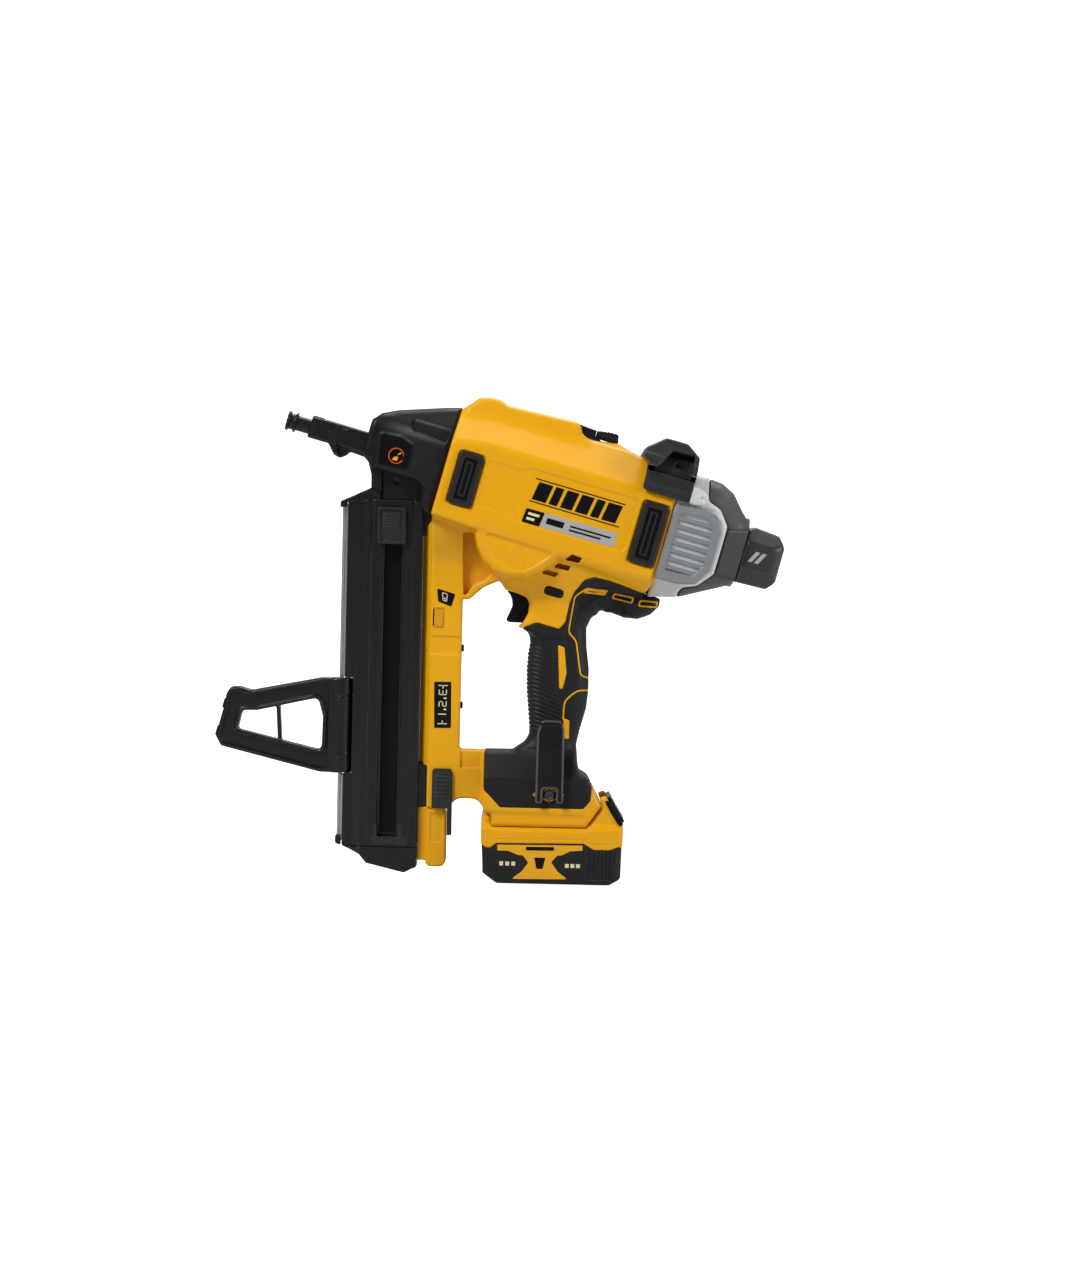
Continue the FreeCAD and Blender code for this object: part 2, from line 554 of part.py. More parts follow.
# ---------------------------------------------------------------- driver and its frame
def drive_frame():
    """The cast frame: two cheeks, a front and a rear wall, lugs for the axle, a solenoid saddle."""
    rear = "carriage_front + carriage_length + bumper_gap + 9 + 6"
    outside = fuse("frame_outside", [
        box("frame_nose", ("frame_front", "150"), ("-frame_nose_half_width", "frame_nose_half_width"),
            ("-nose_block_half", "frame_high"), True),
        box("frame_body", ("148", rear), ("-frame_half_width", "frame_half_width"),
            ("-frame_low", "frame_high"), True),
        box("frame_lugs", ("flywheel_along - 15", "flywheel_along + 15"),
            ("-frame_half_width", "frame_half_width"),
            (f"{FLYWHEEL_ABOVE} - 12", "-frame_low + 1"), True),
    ])
    hollow = [
        box("frame_nose_hollow", ("frame_front + 6", "152"),
            ("-frame_nose_half_width + 2.4", "frame_nose_half_width - 2.4"),
            ("-frame_low - 1", "frame_high + 1"), True),
        box("frame_hollow", ("151", f"{rear} - 6"),
            ("-frame_half_width + frame_wall", "frame_half_width - frame_wall"),
            (f"{FLYWHEEL_ABOVE} - 20", "frame_high + 1"), True),
        rod("frame_blade_hole", "x", "frame_front - 1", "frame_front + 8", "0", "0",
            "channel_radius + 0.7", True),
        rod("frame_axle_hole", "y", "-60", "60", "flywheel_along", FLYWHEEL_ABOVE, "axle_radius", True),
        rod("frame_pivot_hole", "y", "-60", "60", "pinch_pivot_along", "pinch_pivot_above",
            "trunnion_radius + running", True),
    ]
    for index, across in enumerate(("rod_offset", "-rod_offset")):
        hollow.append(rod(f"frame_rod_hole_{index}", "x", "frame_front - 1", f"{rear} + 1",
                          across, "0", "rod_radius", True))
    saddle = box("frame_saddle", ("262", "280"), ("-frame_half_width", "frame_half_width"),
                 ("frame_high", "solenoid_above - solenoid_radius"), True)
    return fuse("drive_frame", [cut("frame_shell", outside, hollow), saddle])


def driver_carriage():
    """The block that the flywheel throws forward, with an ear on each guide rod."""
    solid = fuse("carriage_solid", [
        box("carriage", ("carriage_front", "carriage_front + carriage_length"),
            ("-carriage_half_width", "carriage_half_width"), ("-carriage_depth", "carriage_top"), True),
        box("carriage_ears", ("ear_front", "ear_front + ear_length"),
            ("-rod_offset - rod_radius - 2", "rod_offset + rod_radius + 2"), ("-5.5", "5.5"), True),
    ])
    holes = [rod("carriage_socket", "x", "carriage_front - 1", "carriage_front + 20", "0", "0",
                 "blade_radius", True)]
    for index, across in enumerate(("rod_offset", "-rod_offset")):
        holes.append(rod(f"carriage_rod_hole_{index}", "x", "ear_front - 1",
                         "ear_front + ear_length + 1", across, "0", "rod_radius + running", True))
    # two V-shaped tracks that the flywheel bites
    for index, across in enumerate((-4, 4)):
        holes.append(box(f"carriage_track_{index}", ("carriage_front - 1", "carriage_front + 70"),
                         (f"{across} - 0.8", f"{across} + 0.8"),
                         ("-carriage_depth - 1", "-carriage_depth + 1.5"), True))
    return cut("carriage", solid, holes)


def both_sides(name, make):
    """Two like pieces, one on each side of the tool."""
    return group(name, [make(f"{name}_right", "rod_offset"), make(f"{name}_left", "-rod_offset")])


REAR_WALL = "carriage_front + carriage_length + bumper_gap + 9"
node("drive_frame", drive_frame())
node("guide_rods", both_sides("rods", lambda name, across: rod(
    name, "x", "frame_front + 1", f"{REAR_WALL} + 5", across, "0", "rod_radius", True)))
node("return_springs", both_sides("springs", lambda name, across: tube(
    name, "frame_front + 6", "ear_front", across, "0",
    "rod_radius + free_gap + spring_wire", "rod_radius + free_gap")))
node("driver_carriage", driver_carriage())
node("driver_blade", rod("blade", "x", "blade_tip", "carriage_front + 20", "0", "0",
                         "blade_radius", True))


def bumper(name, start, end, bore):
    """A rubber block that stops the carriage."""
    block = box(name + "_block", (start, end), ("-12", "12"), ("-8", "8"), True)
    if bore is None:
        return block
    return cut(name, block, [rod(name + "_bore", "x", f"{start} - 1", f"{end} + 1", "0", "0",
                                 bore, True)])


node("front_bumper", bumper("front_stop", "frame_front + 6",
                            "carriage_front - stroke - bumper_gap", "channel_radius + 0.7"))
node("rear_bumper", bumper("rear_stop", "carriage_front + carriage_length + bumper_gap",
                           REAR_WALL, None))


# ---------------------------------------------------------------- flywheel motor
def ring(name, start, end, outer, inner, above=FLYWHEEL_ABOVE, along="flywheel_along"):
    """A ring across the tool."""
    return cut(name, rod(name + "_outside", "y", start, end, along, above, outer, True),
               [rod(name + "_bore", "y", f"({start}) - 1", f"({end}) + 1", along, above, inner, True)])


def flywheel():
    """The outer rotor, whose rim throws the carriage, with one web and a hub."""
    rim = ring("rim", "-flywheel_half_width", "flywheel_half_width", "flywheel_radius",
               "flywheel_radius - flywheel_rim")
    web = ring("web", "flywheel_half_width - 2", "flywheel_half_width - 2 + hub_width",
               "flywheel_radius - 1", "bearing_radius")
    return fuse("rotor", [rim, web])


node("flywheel", flywheel())
node("flywheel_bearing", ring("bearing", "flywheel_half_width - 2",
                              "flywheel_half_width - 2 + hub_width", "bearing_radius",
                              "axle_radius + running"))
node("motor_stator", ring("stator", "-flywheel_half_width + 1", "flywheel_half_width - 2 - slide_gap",
                          "flywheel_radius - flywheel_rim - stator_gap", "axle_radius"))
node("flywheel_axle", rod("axle", "y", "-frame_half_width - 1", "frame_half_width + 1",
                          "flywheel_along", FLYWHEEL_ABOVE, "axle_radius", True))


# ---------------------------------------------------------------- pinch roller, arm and solenoid
def pinch_arm():
    """Two plates that press the roller on the carriage, joined by a bar, on two trunnions."""
    side = [("flywheel_along - 6", f"{ROLLER_ABOVE} - 5"), ("flywheel_along + 6", f"{ROLLER_ABOVE} - 5"),
            ("pinch_pivot_along + 4", "pinch_pivot_above - 4"),
            ("pinch_pivot_along + 2", "solenoid_above + 3"),
            ("pinch_pivot_along - 4", "solenoid_above + 3"),
            ("pinch_pivot_along - 5", "pinch_pivot_above + 6"),
            ("flywheel_along - 6", f"{ROLLER_ABOVE} + 5")]
    sketch = outline("pinch", side, drive=True)
    solid = fuse("pinch_solid", [
        slab("pinch_left", sketch, "9", "12", -1), slab("pinch_right", sketch, "9", "12", 1),
        box("pinch_bar", ("pinch_pivot_along - 4", "pinch_pivot_along + 1.6"), ("-10", "10"),
            ("solenoid_above - 3", "solenoid_above + 3"), True),
        rod("trunnion_left", "y", "-frame_half_width + 0.3", "-10", "pinch_pivot_along",
            "pinch_pivot_above", "trunnion_radius", True),
        rod("trunnion_right", "y", "10", "frame_half_width - 0.3", "pinch_pivot_along",
            "pinch_pivot_above", "trunnion_radius", True),
    ])
    return fuse("pinch_arm", [solid, rod("pinch_pin", "y", "-12", "12", "flywheel_along",
                                         ROLLER_ABOVE, "roller_pin_radius", True)])


node("pinch_arm", pinch_arm())
node("pinch_roller", ring("pinch_wheel", "-8", "8", "roller_radius", "roller_pin_radius + running",
                          ROLLER_ABOVE))
node("solenoid", tube("coil", "256", "286", "0", "solenoid_above", "solenoid_radius",
                      "plunger_radius + running"))
node("solenoid_plunger", rod("plunger", "x", "pinch_pivot_along + 2.3", "278", "0",
                             "solenoid_above", "plunger_radius", True))


# ---------------------------------------------------------------- rear end
def rear_ring():
    """The band behind the yellow housing."""
    sketch = outline("ring", RING, drive=True)
    outside = fuse("ring_outside", [slab("ring_left", sketch, "0", "ring_half_width", -1),
                                    slab("ring_right", sketch, "0", "ring_half_width", 1)])
    inside = [slab("ring_hollow_left", sketch, "-1", "ring_half_width - housing_wall", -1, "housing_wall"),
              slab("ring_hollow_right", sketch, "-1", "ring_half_width - housing_wall", 1, "housing_wall"),
              box("ring_front_way", ("rear_seam - 1", "rear_seam + 5"),
                  ("-ring_half_width + housing_wall", "ring_half_width - housing_wall"),
                  ("barrel_low + housing_wall", "rear_high - housing_wall"), True),
              rod("ring_pivot", "y", "-60", "60", "lever_pivot_along", "lever_pivot_above",
                  "lever_pin_radius + running", True)]
    return cut("rear_ring", outside, inside)


def rear_dome():
    """The dark shell that closes the barrel, with a round hole for the end cap."""
    sketch = outline("dome", DOME, drive=True)
    outside = fuse("dome_outside", [slab("dome_left", sketch, "0", "dome_half_width", -1),
                                    slab("dome_right", sketch, "0", "dome_half_width", 1)])
    return cut("rear_dome", outside, [
        slab("dome_hollow_left", sketch, "-1", "dome_half_width - housing_wall", -1, "housing_wall"),
        slab("dome_hollow_right", sketch, "-1", "dome_half_width - housing_wall", 1, "housing_wall"),
        rod("dome_hole", "x", "ring_rear - 10", "dome_rear + 5", "0", "-0.5",
            "cap_radius + free_gap", True)])


def rear_cap():
    """The turned end cap: a flared neck, a plain band and a crowned end."""
    solid = fuse("cap_solid", [
        taper("cap_neck", "ring_rear + 1", "dome_rear - 2", "-0.5", "cap_radius - 5.5", "cap_radius"),
        rod("cap_band", "x", "dome_rear - 2", "cap_rear - 15", "0", "-0.5", "cap_radius", True),
        taper("cap_shoulder", "cap_rear - 15", "cap_rear - 5", "-0.5", "cap_radius",
              "cap_radius - 3.5"),
        taper("cap_crown", "cap_rear - 5", "cap_rear", "-0.5", "cap_radius - 3.5",
              "cap_radius - 11"),
    ])
    return cut("rear_cap", solid, [rod("cap_hollow", "x", "ring_rear", "cap_rear - 12", "0", "-0.5",
                                       "cap_radius - 9", True)])


def vent_panel(label, side):
    """A ribbed air outlet on one side of the rear ring."""
    corners = [("rear_seam + 7.5", "20.3"), ("rear_seam + 28.5", "22.2"), ("ring_rear - 11.5", "15.8"),
               ("ring_rear - 11", "-21.7"), ("ring_rear - 16", "-33.8"), ("rear_seam + 9.7", "-35.9")]
    sketch = outline(label, corners, drive=True)
    panel = slab(label + "_panel", sketch, "ring_half_width", "ring_half_width + panel_thickness", side)
    grooves = []
    reach = ("ring_half_width + panel_thickness - 1.6", "ring_half_width + panel_thickness + 1")
    y = reach if side > 0 else (f"-({reach[1]})", f"-({reach[0]})")
    for index in range(7):
        level = 14 - 7 * index
        grooves.append(box(f"{label}_groove_{index}", ("rear_seam + 13", "ring_rear - 17"), y,
                           (f"{level} - 1.6", f"{level} + 1.6"), True))
    return cut(label, panel, grooves)


node("rear_ring", rear_ring())
node("rear_dome", rear_dome())
node("rear_cap", rear_cap())
node("vent_panel_left", vent_panel("left_vent", -1))
node("vent_panel_right", vent_panel("right_vent", 1))

PADS = {"front": ("nose_seam + 9.5", "nose_seam + 30.5", "-28", "16"),
        "rear": ("rear_seam - 25", "rear_seam - 3", "-33", "19")}
for place_name, (start, end, low, high) in PADS.items():
    for side_name, face in (("left", ("-barrel_half_width - pad_thickness", "-barrel_half_width")),
                            ("right", ("barrel_half_width", "barrel_half_width + pad_thickness"))):
        label = f"{place_name}_pad_{side_name}"
        node(label, plate(label, [(start, low), (end, low), (end, high), (start, high)],
                          *face, drive=True))


# ---------------------------------------------------------------- stall lever and slider on top
def stall_lever():
    """The strap over the barrel, with an arm and a pivot pin on each side."""
    arm = [("301", "27.2"), ("lever_pivot_along", "lever_pivot_above - 7"),
           ("lever_pivot_along + 6", "lever_pivot_above - 2"),
           ("lever_pivot_along + 4", "lever_pivot_above + 6"), ("340", "rear_high + 12.5"),
           ("332", "rear_high + 18.5"), ("325", "rear_high + 22"), ("309", "rear_high + 22"),
           ("296", "rear_high + 11.5"), ("294", "rear_high + 5"), ("302", "rear_high + 5")]
    strap = [("294", "rear_high + 5"), ("296", "rear_high + 11.5"), ("309", "rear_high + 22"),
             ("325", "rear_high + 22"), ("332", "rear_high + 18.5"), ("336", "rear_high + 12"),
             ("326", "rear_high + 5")]
    arm_sketch = outline("lever_arm", arm, drive=True)
    strap_sketch = outline("lever_strap", strap, drive=True)
    near = "barrel_half_width + lever_gap"
    far = "barrel_half_width + lever_gap + lever_thickness"
    return fuse("stall_lever", [
        slab("lever_left", arm_sketch, near, far, -1), slab("lever_right", arm_sketch, near, far, 1),
        slab("lever_over_left", strap_sketch, "0", far, -1),
        slab("lever_over_right", strap_sketch, "0", far, 1),
        rod("lever_pin_left", "y", f"-({far}) + 1", "-ring_half_width + housing_wall",
            "lever_pivot_along", "lever_pivot_above", "lever_pin_radius", True),
        rod("lever_pin_right", "y", "ring_half_width - housing_wall", f"{far} - 1",
            "lever_pivot_along", "lever_pivot_above", "lever_pin_radius", True),
    ])


node("stall_lever", stall_lever())
node("top_slider", plate("top_slider", [
    ("243", "ridge_high - 4.9"), ("252", "ridge_high - 1"), ("270.4", "ridge_high + 0.9"),
    ("271.5", "ridge_high - 8"), ("255", "ridge_high - 8.6")],
    "-slider_half_width", "slider_half_width", drive=True))


# ---------------------------------------------------------------- controls on the handle
TRIGGER_PIVOT = ("-31", "tip_z - 144.5")
node("trigger", cut("trigger_drilled", plate("trigger_body", [
    ("-41.5", "tip_z - 141"), ("-27.5", "tip_z - 141"), ("-22.9", "tip_z - 149.5"),
    ("-24", "tip_z - 160"), ("-30", "tip_z - 166.5"), ("-42", "tip_z - 162"),
    ("-38.4", "tip_z - 151.5")],
    "-trigger_half_width", "trigger_half_width"), [
        rod("trigger_bore", "y", "-20", "20", *TRIGGER_PIVOT, "trigger_pin_radius + running")]))
node("trigger_pin", rod("trigger_axle", "y", "-trigger_half_width - 5", "trigger_half_width + 5",
                        *TRIGGER_PIVOT, "trigger_pin_radius"))
node("trigger_switch", box("switch", ("-7.5", "3"), ("-7", "7"), ("tip_z - 160", "tip_z - 146")))
LOCK_STEPS = [(-1, -0.45), (-0.7, -1), (0.7, -1), (1, -0.45), (1, 0.45), (0.7, 1), (-0.7, 1),
              (-1, 0.45)]
node("lock_off_button", plate("lock_button", [
    (f"lock_middle + ({across}) * lock_reach", f"tip_z - 138.2 + ({up}) * lock_half")
    for across, up in LOCK_STEPS], "-lock_half_width", "lock_half_width"))
for label, level in (("light_button", "arm_high + 85.5"), ("power_button", "arm_high + 37.7")):
    node(label, rod(label + "_pin", "x", "tower_rear - 5", "tower_rear + 4", "0", level,
                    "button_radius"))
node("lamp_lens", box("lens", ("tower_front + 2.5", "tower_front + 11.3"),
                      ("-tower_half_width - 0.8", "-tower_half_width"),
                      ("tip_z - 170", "tip_z - 153")))
node("controller_board", box("controller", ("-40", "18"), ("-24", "24"), ("76", "86")))
node("terminal_block", box("terminals", ("-30", "20"), ("-15", "15"),
                           ("rail_top + free_gap", "skirt_top + 3")))


# ---------------------------------------------------------------- magazine
def magazine_body():
    """The upright channel for the pins, with a window for the pusher and a rail to the tower."""
    solid = fuse("magazine_solid", [
        box("magazine_case", ("magazine_front", "magazine_rear"),
            ("-magazine_half_width", "magazine_half_width"), ("magazine_low", MAGAZINE_HIGH)),
        box("magazine_rail", ("magazine_rear - 1", "tower_front"),
            ("-shoe_half_width", "shoe_half_width"), ("tower_low + 1", "tip_z - 98")),
    ])
    return cut("magazine_body", solid, [
        box("strip_channel", ("magazine_front + 6", "magazine_rear - 6"),
            ("-strip_half_width", "strip_half_width"), ("magazine_low - 1", f"{MAGAZINE_HIGH} + 1")),
        box("pusher_window", ("window_front", "window_rear"), ("-magazine_half_width - 1", "0"),
            ("window_low", f"{MAGAZINE_HIGH} - 5")),
        box("foot_notch", ("magazine_front - 1", "magazine_front + 10"),
            ("-magazine_half_width - 1", "magazine_half_width + 1"), ("foot_low - 4", "foot_high + 4")),
    ])


ROD_X = "magazine_front - magazine_rod_radius"


def magazine_top():
    """The cap on the magazine, with the feed neck up to the nose block and a lug for the rod."""
    corners = [("magazine_front - 5.5", f"{MAGAZINE_HIGH} - 8"),
               ("magazine_front", f"{MAGAZINE_HIGH} - 8"),
               ("magazine_front", MAGAZINE_HIGH), ("magazine_rear", MAGAZINE_HIGH),
               ("magazine_rear - 4.5", f"{MAGAZINE_HIGH} + 12"),
               ("magazine_front + 17", f"{MAGAZINE_HIGH} + 12"),
               ("magazine_front - 5.5", f"{MAGAZINE_HIGH} + 9")]
    neck = [("magazine_front + 8", f"{MAGAZINE_HIGH} + 1"),
            ("magazine_rear - 3", f"{MAGAZINE_HIGH} + 1"),
            ("magazine_rear - 3", f"{MAGAZINE_HIGH} + 25.6"),
            ("magazine_front + 18", f"{MAGAZINE_HIGH} + 37"),
            ("magazine_front + 17", f"{MAGAZINE_HIGH} + 11")]
    cap_sketch = outline("magazine_cap", corners)
    neck_sketch = outline("feed_neck", neck)
    solid = fuse("magazine_top_solid", [
        slab("magazine_cap_left", cap_sketch, "0", "magazine_half_width - 4", -1),
        slab("magazine_cap_right", cap_sketch, "0", "magazine_half_width - 4", 1),
        slab("feed_neck_left", neck_sketch, "0", "7.5", -1),
        slab("feed_neck_right", neck_sketch, "0", "7.5", 1),
    ])
    return cut("magazine_top", solid, [
        box("neck_channel", ("magazine_front + 10", "magazine_rear - 6"),
            ("-strip_half_width", "strip_half_width"), (f"{MAGAZINE_HIGH} - 1", f"{MAGAZINE_HIGH} + 40")),
        rod("top_rod_hole", "z", "200", f"{MAGAZINE_HIGH} - 4", ROD_X, "0", "magazine_rod_radius"),
    ])


def magazine_end_cap():
    """The foot of the magazine, which holds the rod's lower end."""
    sketch = outline("magazine_foot", [
        ("magazine_front - 5.5", "magazine_low"), ("magazine_front + 10", "magazine_low - 4"),
        ("magazine_front + 22", "magazine_low - 14"), ("magazine_rear - 12", "5.5"),
        ("magazine_rear", "9"), ("magazine_rear", "magazine_low"), ("magazine_front", "magazine_low"),
        ("magazine_front", "magazine_low + 9"), ("magazine_front - 5.5", "magazine_low + 9")])
    solid = fuse("magazine_foot_solid", [
        slab("magazine_foot_left", sketch, "0", "magazine_half_width", -1),
        slab("magazine_foot_right", sketch, "0", "magazine_half_width", 1)])
    return cut("magazine_end_cap", solid, [
        rod("foot_rod_hole", "z", "magazine_low + 4", "magazine_low + 20", ROD_X, "0",
            "magazine_rod_radius")])


def pusher():
    """The follower under the pins, with a neck through the window and a thumb knob."""
    low = f"{MAGAZINE_HIGH} - 5.5 - pusher_height"
    high = f"{MAGAZINE_HIGH} - 5.5"
    return fuse("pusher", [
        box("pusher_follower", ("magazine_front + 7", "magazine_rear - 7"),
            ("-strip_half_width + free_gap", "strip_half_width - free_gap"), (low, high)),
        box("pusher_neck", ("window_front + 2", "window_rear - 2"),
            ("-magazine_half_width - 2", "-strip_half_width + 1"), (low, high)),
        box("pusher_knob", ("window_front - 4", "window_rear + 1.5"),
            ("-magazine_half_width - 7", "-magazine_half_width - slide_gap"), (low, high)),
    ])


node("magazine_body", magazine_body())
node("magazine_top", magazine_top())
node("magazine_end_cap", magazine_end_cap())
node("magazine_rod", rod("hinge_rod", "z", "magazine_low + 4", f"{MAGAZINE_HIGH} - 4",
                         ROD_X, "0", "magazine_rod_radius"))
node("pusher", pusher())
node("pusher_spring", rod("coiled_strip", "y", "-2.6", "2.6", "magazine_front + 18",
                          f"{MAGAZINE_HIGH} + 2.2", "6"))
node("magazine_shoe", plate("magazine_shoe", [
    ("magazine_rear", "15.7"), ("tower_front + 0.4", "15.7"), ("tower_front + 0.4", "11"),
    ("tower_front + 17", "11"), ("tower_front + 17", "tower_low"), ("magazine_rear", "tower_low")],
    "-shoe_half_width", "shoe_half_width"))
node("magazine_latch", plate("magazine_latch", [
    ("tower_front + 4.7", "tower_low"), ("tower_front + 17.5", "tower_low"),
    ("tower_front + 17.5", "38"), ("tower_front + 21.5", "38"), ("tower_front + 21.5", "90"),
    ("tower_front + 18", "94"), ("tower_front + 4.7", "94")],
    "-tower_half_width - 5", "-tower_half_width - slide_gap"))


# ---------------------------------------------------------------- support foot
def support_foot():
    """The swing-out frame that steadies the nose against the work, on a knuckle round the rod."""
    x = ROD_X
    outer = [(f"{x} + 4", "foot_low"), (f"{x} + 4", "foot_high - 3"), (f"{x} - 3", "foot_high"),
             (f"{x} - 16", "foot_high"), (f"{x} - 76", "foot_high - 12"),
             (f"{x} - 85", "foot_high - 9"), (f"{x} - 92", "foot_high - 9"),
             (f"{x} - 95", "foot_high - 14"), (f"{x} - 104.3", "foot_low + 29"),
             (f"{x} - 99", "foot_low + 20.5"), (f"{x} - 16", "foot_low")]
    front_hole = [(f"{x} - 86", "foot_low + 34"), (f"{x} - 54", "foot_low + 26"),
                  (f"{x} - 54", "foot_high - 23.5"), (f"{x} - 70", "foot_high - 28"),
                  (f"{x} - 82", "foot_high - 28")]
    rear_hole = [(f"{x} - 51", "foot_low + 25.3"), (f"{x} - 15", "foot_low + 16"),
                 (f"{x} - 18", "foot_high - 16"), (f"{x} - 51", "foot_high - 23")]
    frame_plate = plate("foot_frame", outer, "-foot_half_width", "foot_half_width",
                        holes=(front_hole, rear_hole))
    bore = rod("foot_bore", "z", "foot_low - 5", "foot_high + 5", x, "0",
               "magazine_rod_radius + running")
    relief = [box("foot_relief", (f"{x} - 8", f"{x} + 20"), ("-20", "20"),
                  ("foot_low + 16", "foot_high - 18"))]
    knuckle = rod("foot_knuckle", "z", "foot_low + 10", "foot_high - 10", x, "0",
                  "foot_knuckle_radius")
    return cut("support_foot", fuse("foot_solid", [cut("foot_open", frame_plate, relief), knuckle]),
               [bore])


node("support_foot", support_foot())


# ---------------------------------------------------------------- belt hook
def belt_hook():
    """A bent flat bar that stands off the left side, screwed to the base."""
    left = "hook_middle - hook_half_width"
    right = "hook_middle + hook_half_width"
    outer_face = "-base_half_width - hook_reach"
    loop = cut("hook_loop", box("hook_outside", (left, right),
                                (outer_face, f"{outer_face} + hook_wire"), ("66", "hook_top")),
               [box("hook_inside", (f"{left} + hook_wire", f"{right} - hook_wire"),
                    (f"{outer_face} - 1", f"{outer_face} + hook_wire + 1"),
                    ("84", "hook_top - hook_wire"))])
    foot = box("hook_foot", (left, right), (outer_face, "-base_half_width"), ("66", "84"))
    return cut("belt_hook", fuse("hook_solid", [loop, foot]), [
        rod("hook_hole", "y", "-60", "-30", "hook_middle", "76", "2.2")])


node("belt_hook", belt_hook())
node("belt_hook_screw", fuse("hook_screw", [
    rod("hook_screw_head", "y", "-base_half_width - hook_reach - 2.5",
        "-base_half_width - hook_reach", "hook_middle", "76", "4.6"),
    rod("hook_screw_shank", "y", "-base_half_width - hook_reach - 1", "-base_half_width",
        "hook_middle", "76", "2.2")]))


# ---------------------------------------------------------------- battery
def battery_case(name, low, high, opens_up):
    """One half of the battery's case: a tray that is open above or below."""
    half = "battery_length/2"
    wall = "battery_wall"
    outside = box(name + "_outside", (f"-{half}", half), ("-battery_half_width", "battery_half_width"),
                  (low, high))
    z = (f"{low} + {wall}", f"{high} + 1") if opens_up else (f"{low} - 1", f"{high} - {wall}")
    hollow = box(name + "_hollow", (f"-{half} + {wall}", f"{half} - {wall}"),
                 (f"-battery_half_width + {wall}", f"battery_half_width - {wall}"), z)
    return cut(name + "_tray", outside, [hollow])


def battery_upper():
    """The upper case, with the slide rail and the raised heel behind the tool's base."""
    heel = [("29", "battery_top - 2"), ("battery_length/2 - 0.5", "battery_top - 2"),
            ("battery_length/2 - 0.5", "battery_top + 2"), ("43", "75"), ("40.7", "70.5")]
    heel_sketch = outline("heel", heel)
    pocket = [("battery_length/2 + 8", "battery_top + 1.2"), ("battery_length/2 + 8", "81"),
              ("46", "81"), ("39.5", "72"), ("battery_length/2 - 5", "battery_top + 1.2")]
    pocket_sketch = outline("release_pocket", pocket)
    solid = fuse("battery_upper_solid", [
        battery_case("battery_upper", "battery_split", "battery_top", False),
        box("rail_stem", ("-battery_length/2", "30"), ("-rail_neck", "rail_neck"),
            ("battery_top - 1", "rail_top")),
        box("rail", ("-battery_length/2", "30"), ("-rail_half_width", "rail_half_width"),
            ("base_low + rail_lip", "rail_top")),
        slab("heel_left", heel_sketch, "0", "rail_half_width", -1),
        slab("heel_right", heel_sketch, "0", "rail_half_width", 1),
    ])
    return cut("battery_upper", solid, [
        slab("pocket_left", pocket_sketch, "0", "16", -1),
        slab("pocket_right", pocket_sketch, "0", "16", 1)])


def battery_cells():
    """Two rows of five cells, lying across the tool."""
    cells = []
    for row in range(2):
        for column in range(5):
            level = f"battery_wall + cell_radius + 0.3 + {row} * cell_pitch"
            cells.append(rod(f"cell_{row}_{column}", "y", "-cell_length/2", "cell_length/2",
                             f"{column - 2} * cell_pitch", level, "cell_radius"))
    return group("cells", cells)


node("battery_upper_case", battery_upper())
node("battery_lower_case", battery_case("battery_lower", "0", "battery_split", True))
node("battery_cells", battery_cells())
node("battery_release", plate("battery_release", [
    ("battery_length/2 - 1.6", "battery_top + 3.4"), ("battery_length/2 + 1", "battery_top + 6"),
    ("46.6", "74"), ("43.8", "72")], "-15.4", "15.4"))

# ---------------------------------------------------------------- check and write
document.recompute()
for thing in document.Objects:
    if "Invalid" in thing.State or "Error" in thing.State:
        raise RuntimeError(f"{thing.Name} could not be built: {thing.State}")
os.makedirs("parts", exist_ok=True)
for label, thing in NODES.items():
    shape = thing.Shape
    if shape.isNull() or not shape.isValid() or not shape.Solids:
        raise RuntimeError(f"{label} is not a valid solid")
    shape.exportStep(f"parts/{label}.step")
    print(label, len(shape.Solids), round(shape.Volume))
print(len(NODES), "nodes")
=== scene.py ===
import math
import bpy
import bmesh
import numpy as np
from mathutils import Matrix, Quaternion, Vector


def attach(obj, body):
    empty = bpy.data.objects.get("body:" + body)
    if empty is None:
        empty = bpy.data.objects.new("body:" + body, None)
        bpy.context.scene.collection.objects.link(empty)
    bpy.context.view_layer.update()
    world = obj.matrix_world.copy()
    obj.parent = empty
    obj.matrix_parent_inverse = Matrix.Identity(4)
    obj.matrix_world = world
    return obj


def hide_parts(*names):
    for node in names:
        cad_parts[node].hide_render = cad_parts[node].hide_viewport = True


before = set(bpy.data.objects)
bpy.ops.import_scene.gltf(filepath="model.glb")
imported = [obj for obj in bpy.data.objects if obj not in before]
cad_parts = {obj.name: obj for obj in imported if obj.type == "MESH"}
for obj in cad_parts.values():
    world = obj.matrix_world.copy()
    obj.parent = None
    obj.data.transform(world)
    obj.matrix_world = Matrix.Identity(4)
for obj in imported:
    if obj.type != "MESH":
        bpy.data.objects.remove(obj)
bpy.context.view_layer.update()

# Lengths below are in mm in the frame of the CAD model. Points on the drive line are (a, b):
# a along it from the nose tip, b square to it. w is the distance from the middle plane.
TILT = math.radians(15)
TIP_X, TIP_Z = -229.8, 382.3
COARSE = 1.0
MM = 0.001


def to_model(a, b):
    """Drive-line coordinates to (x, z)."""
    return (TIP_X + a * math.cos(TILT) + b * math.sin(TILT),
            TIP_Z - a * math.sin(TILT) + b * math.cos(TILT))


def to_drive(x, z):
    """(x, z) to drive-line coordinates."""
    return ((x - TIP_X) * math.cos(TILT) - (z - TIP_Z) * math.sin(TILT),
            (x - TIP_X) * math.sin(TILT) + (z - TIP_Z) * math.cos(TILT))


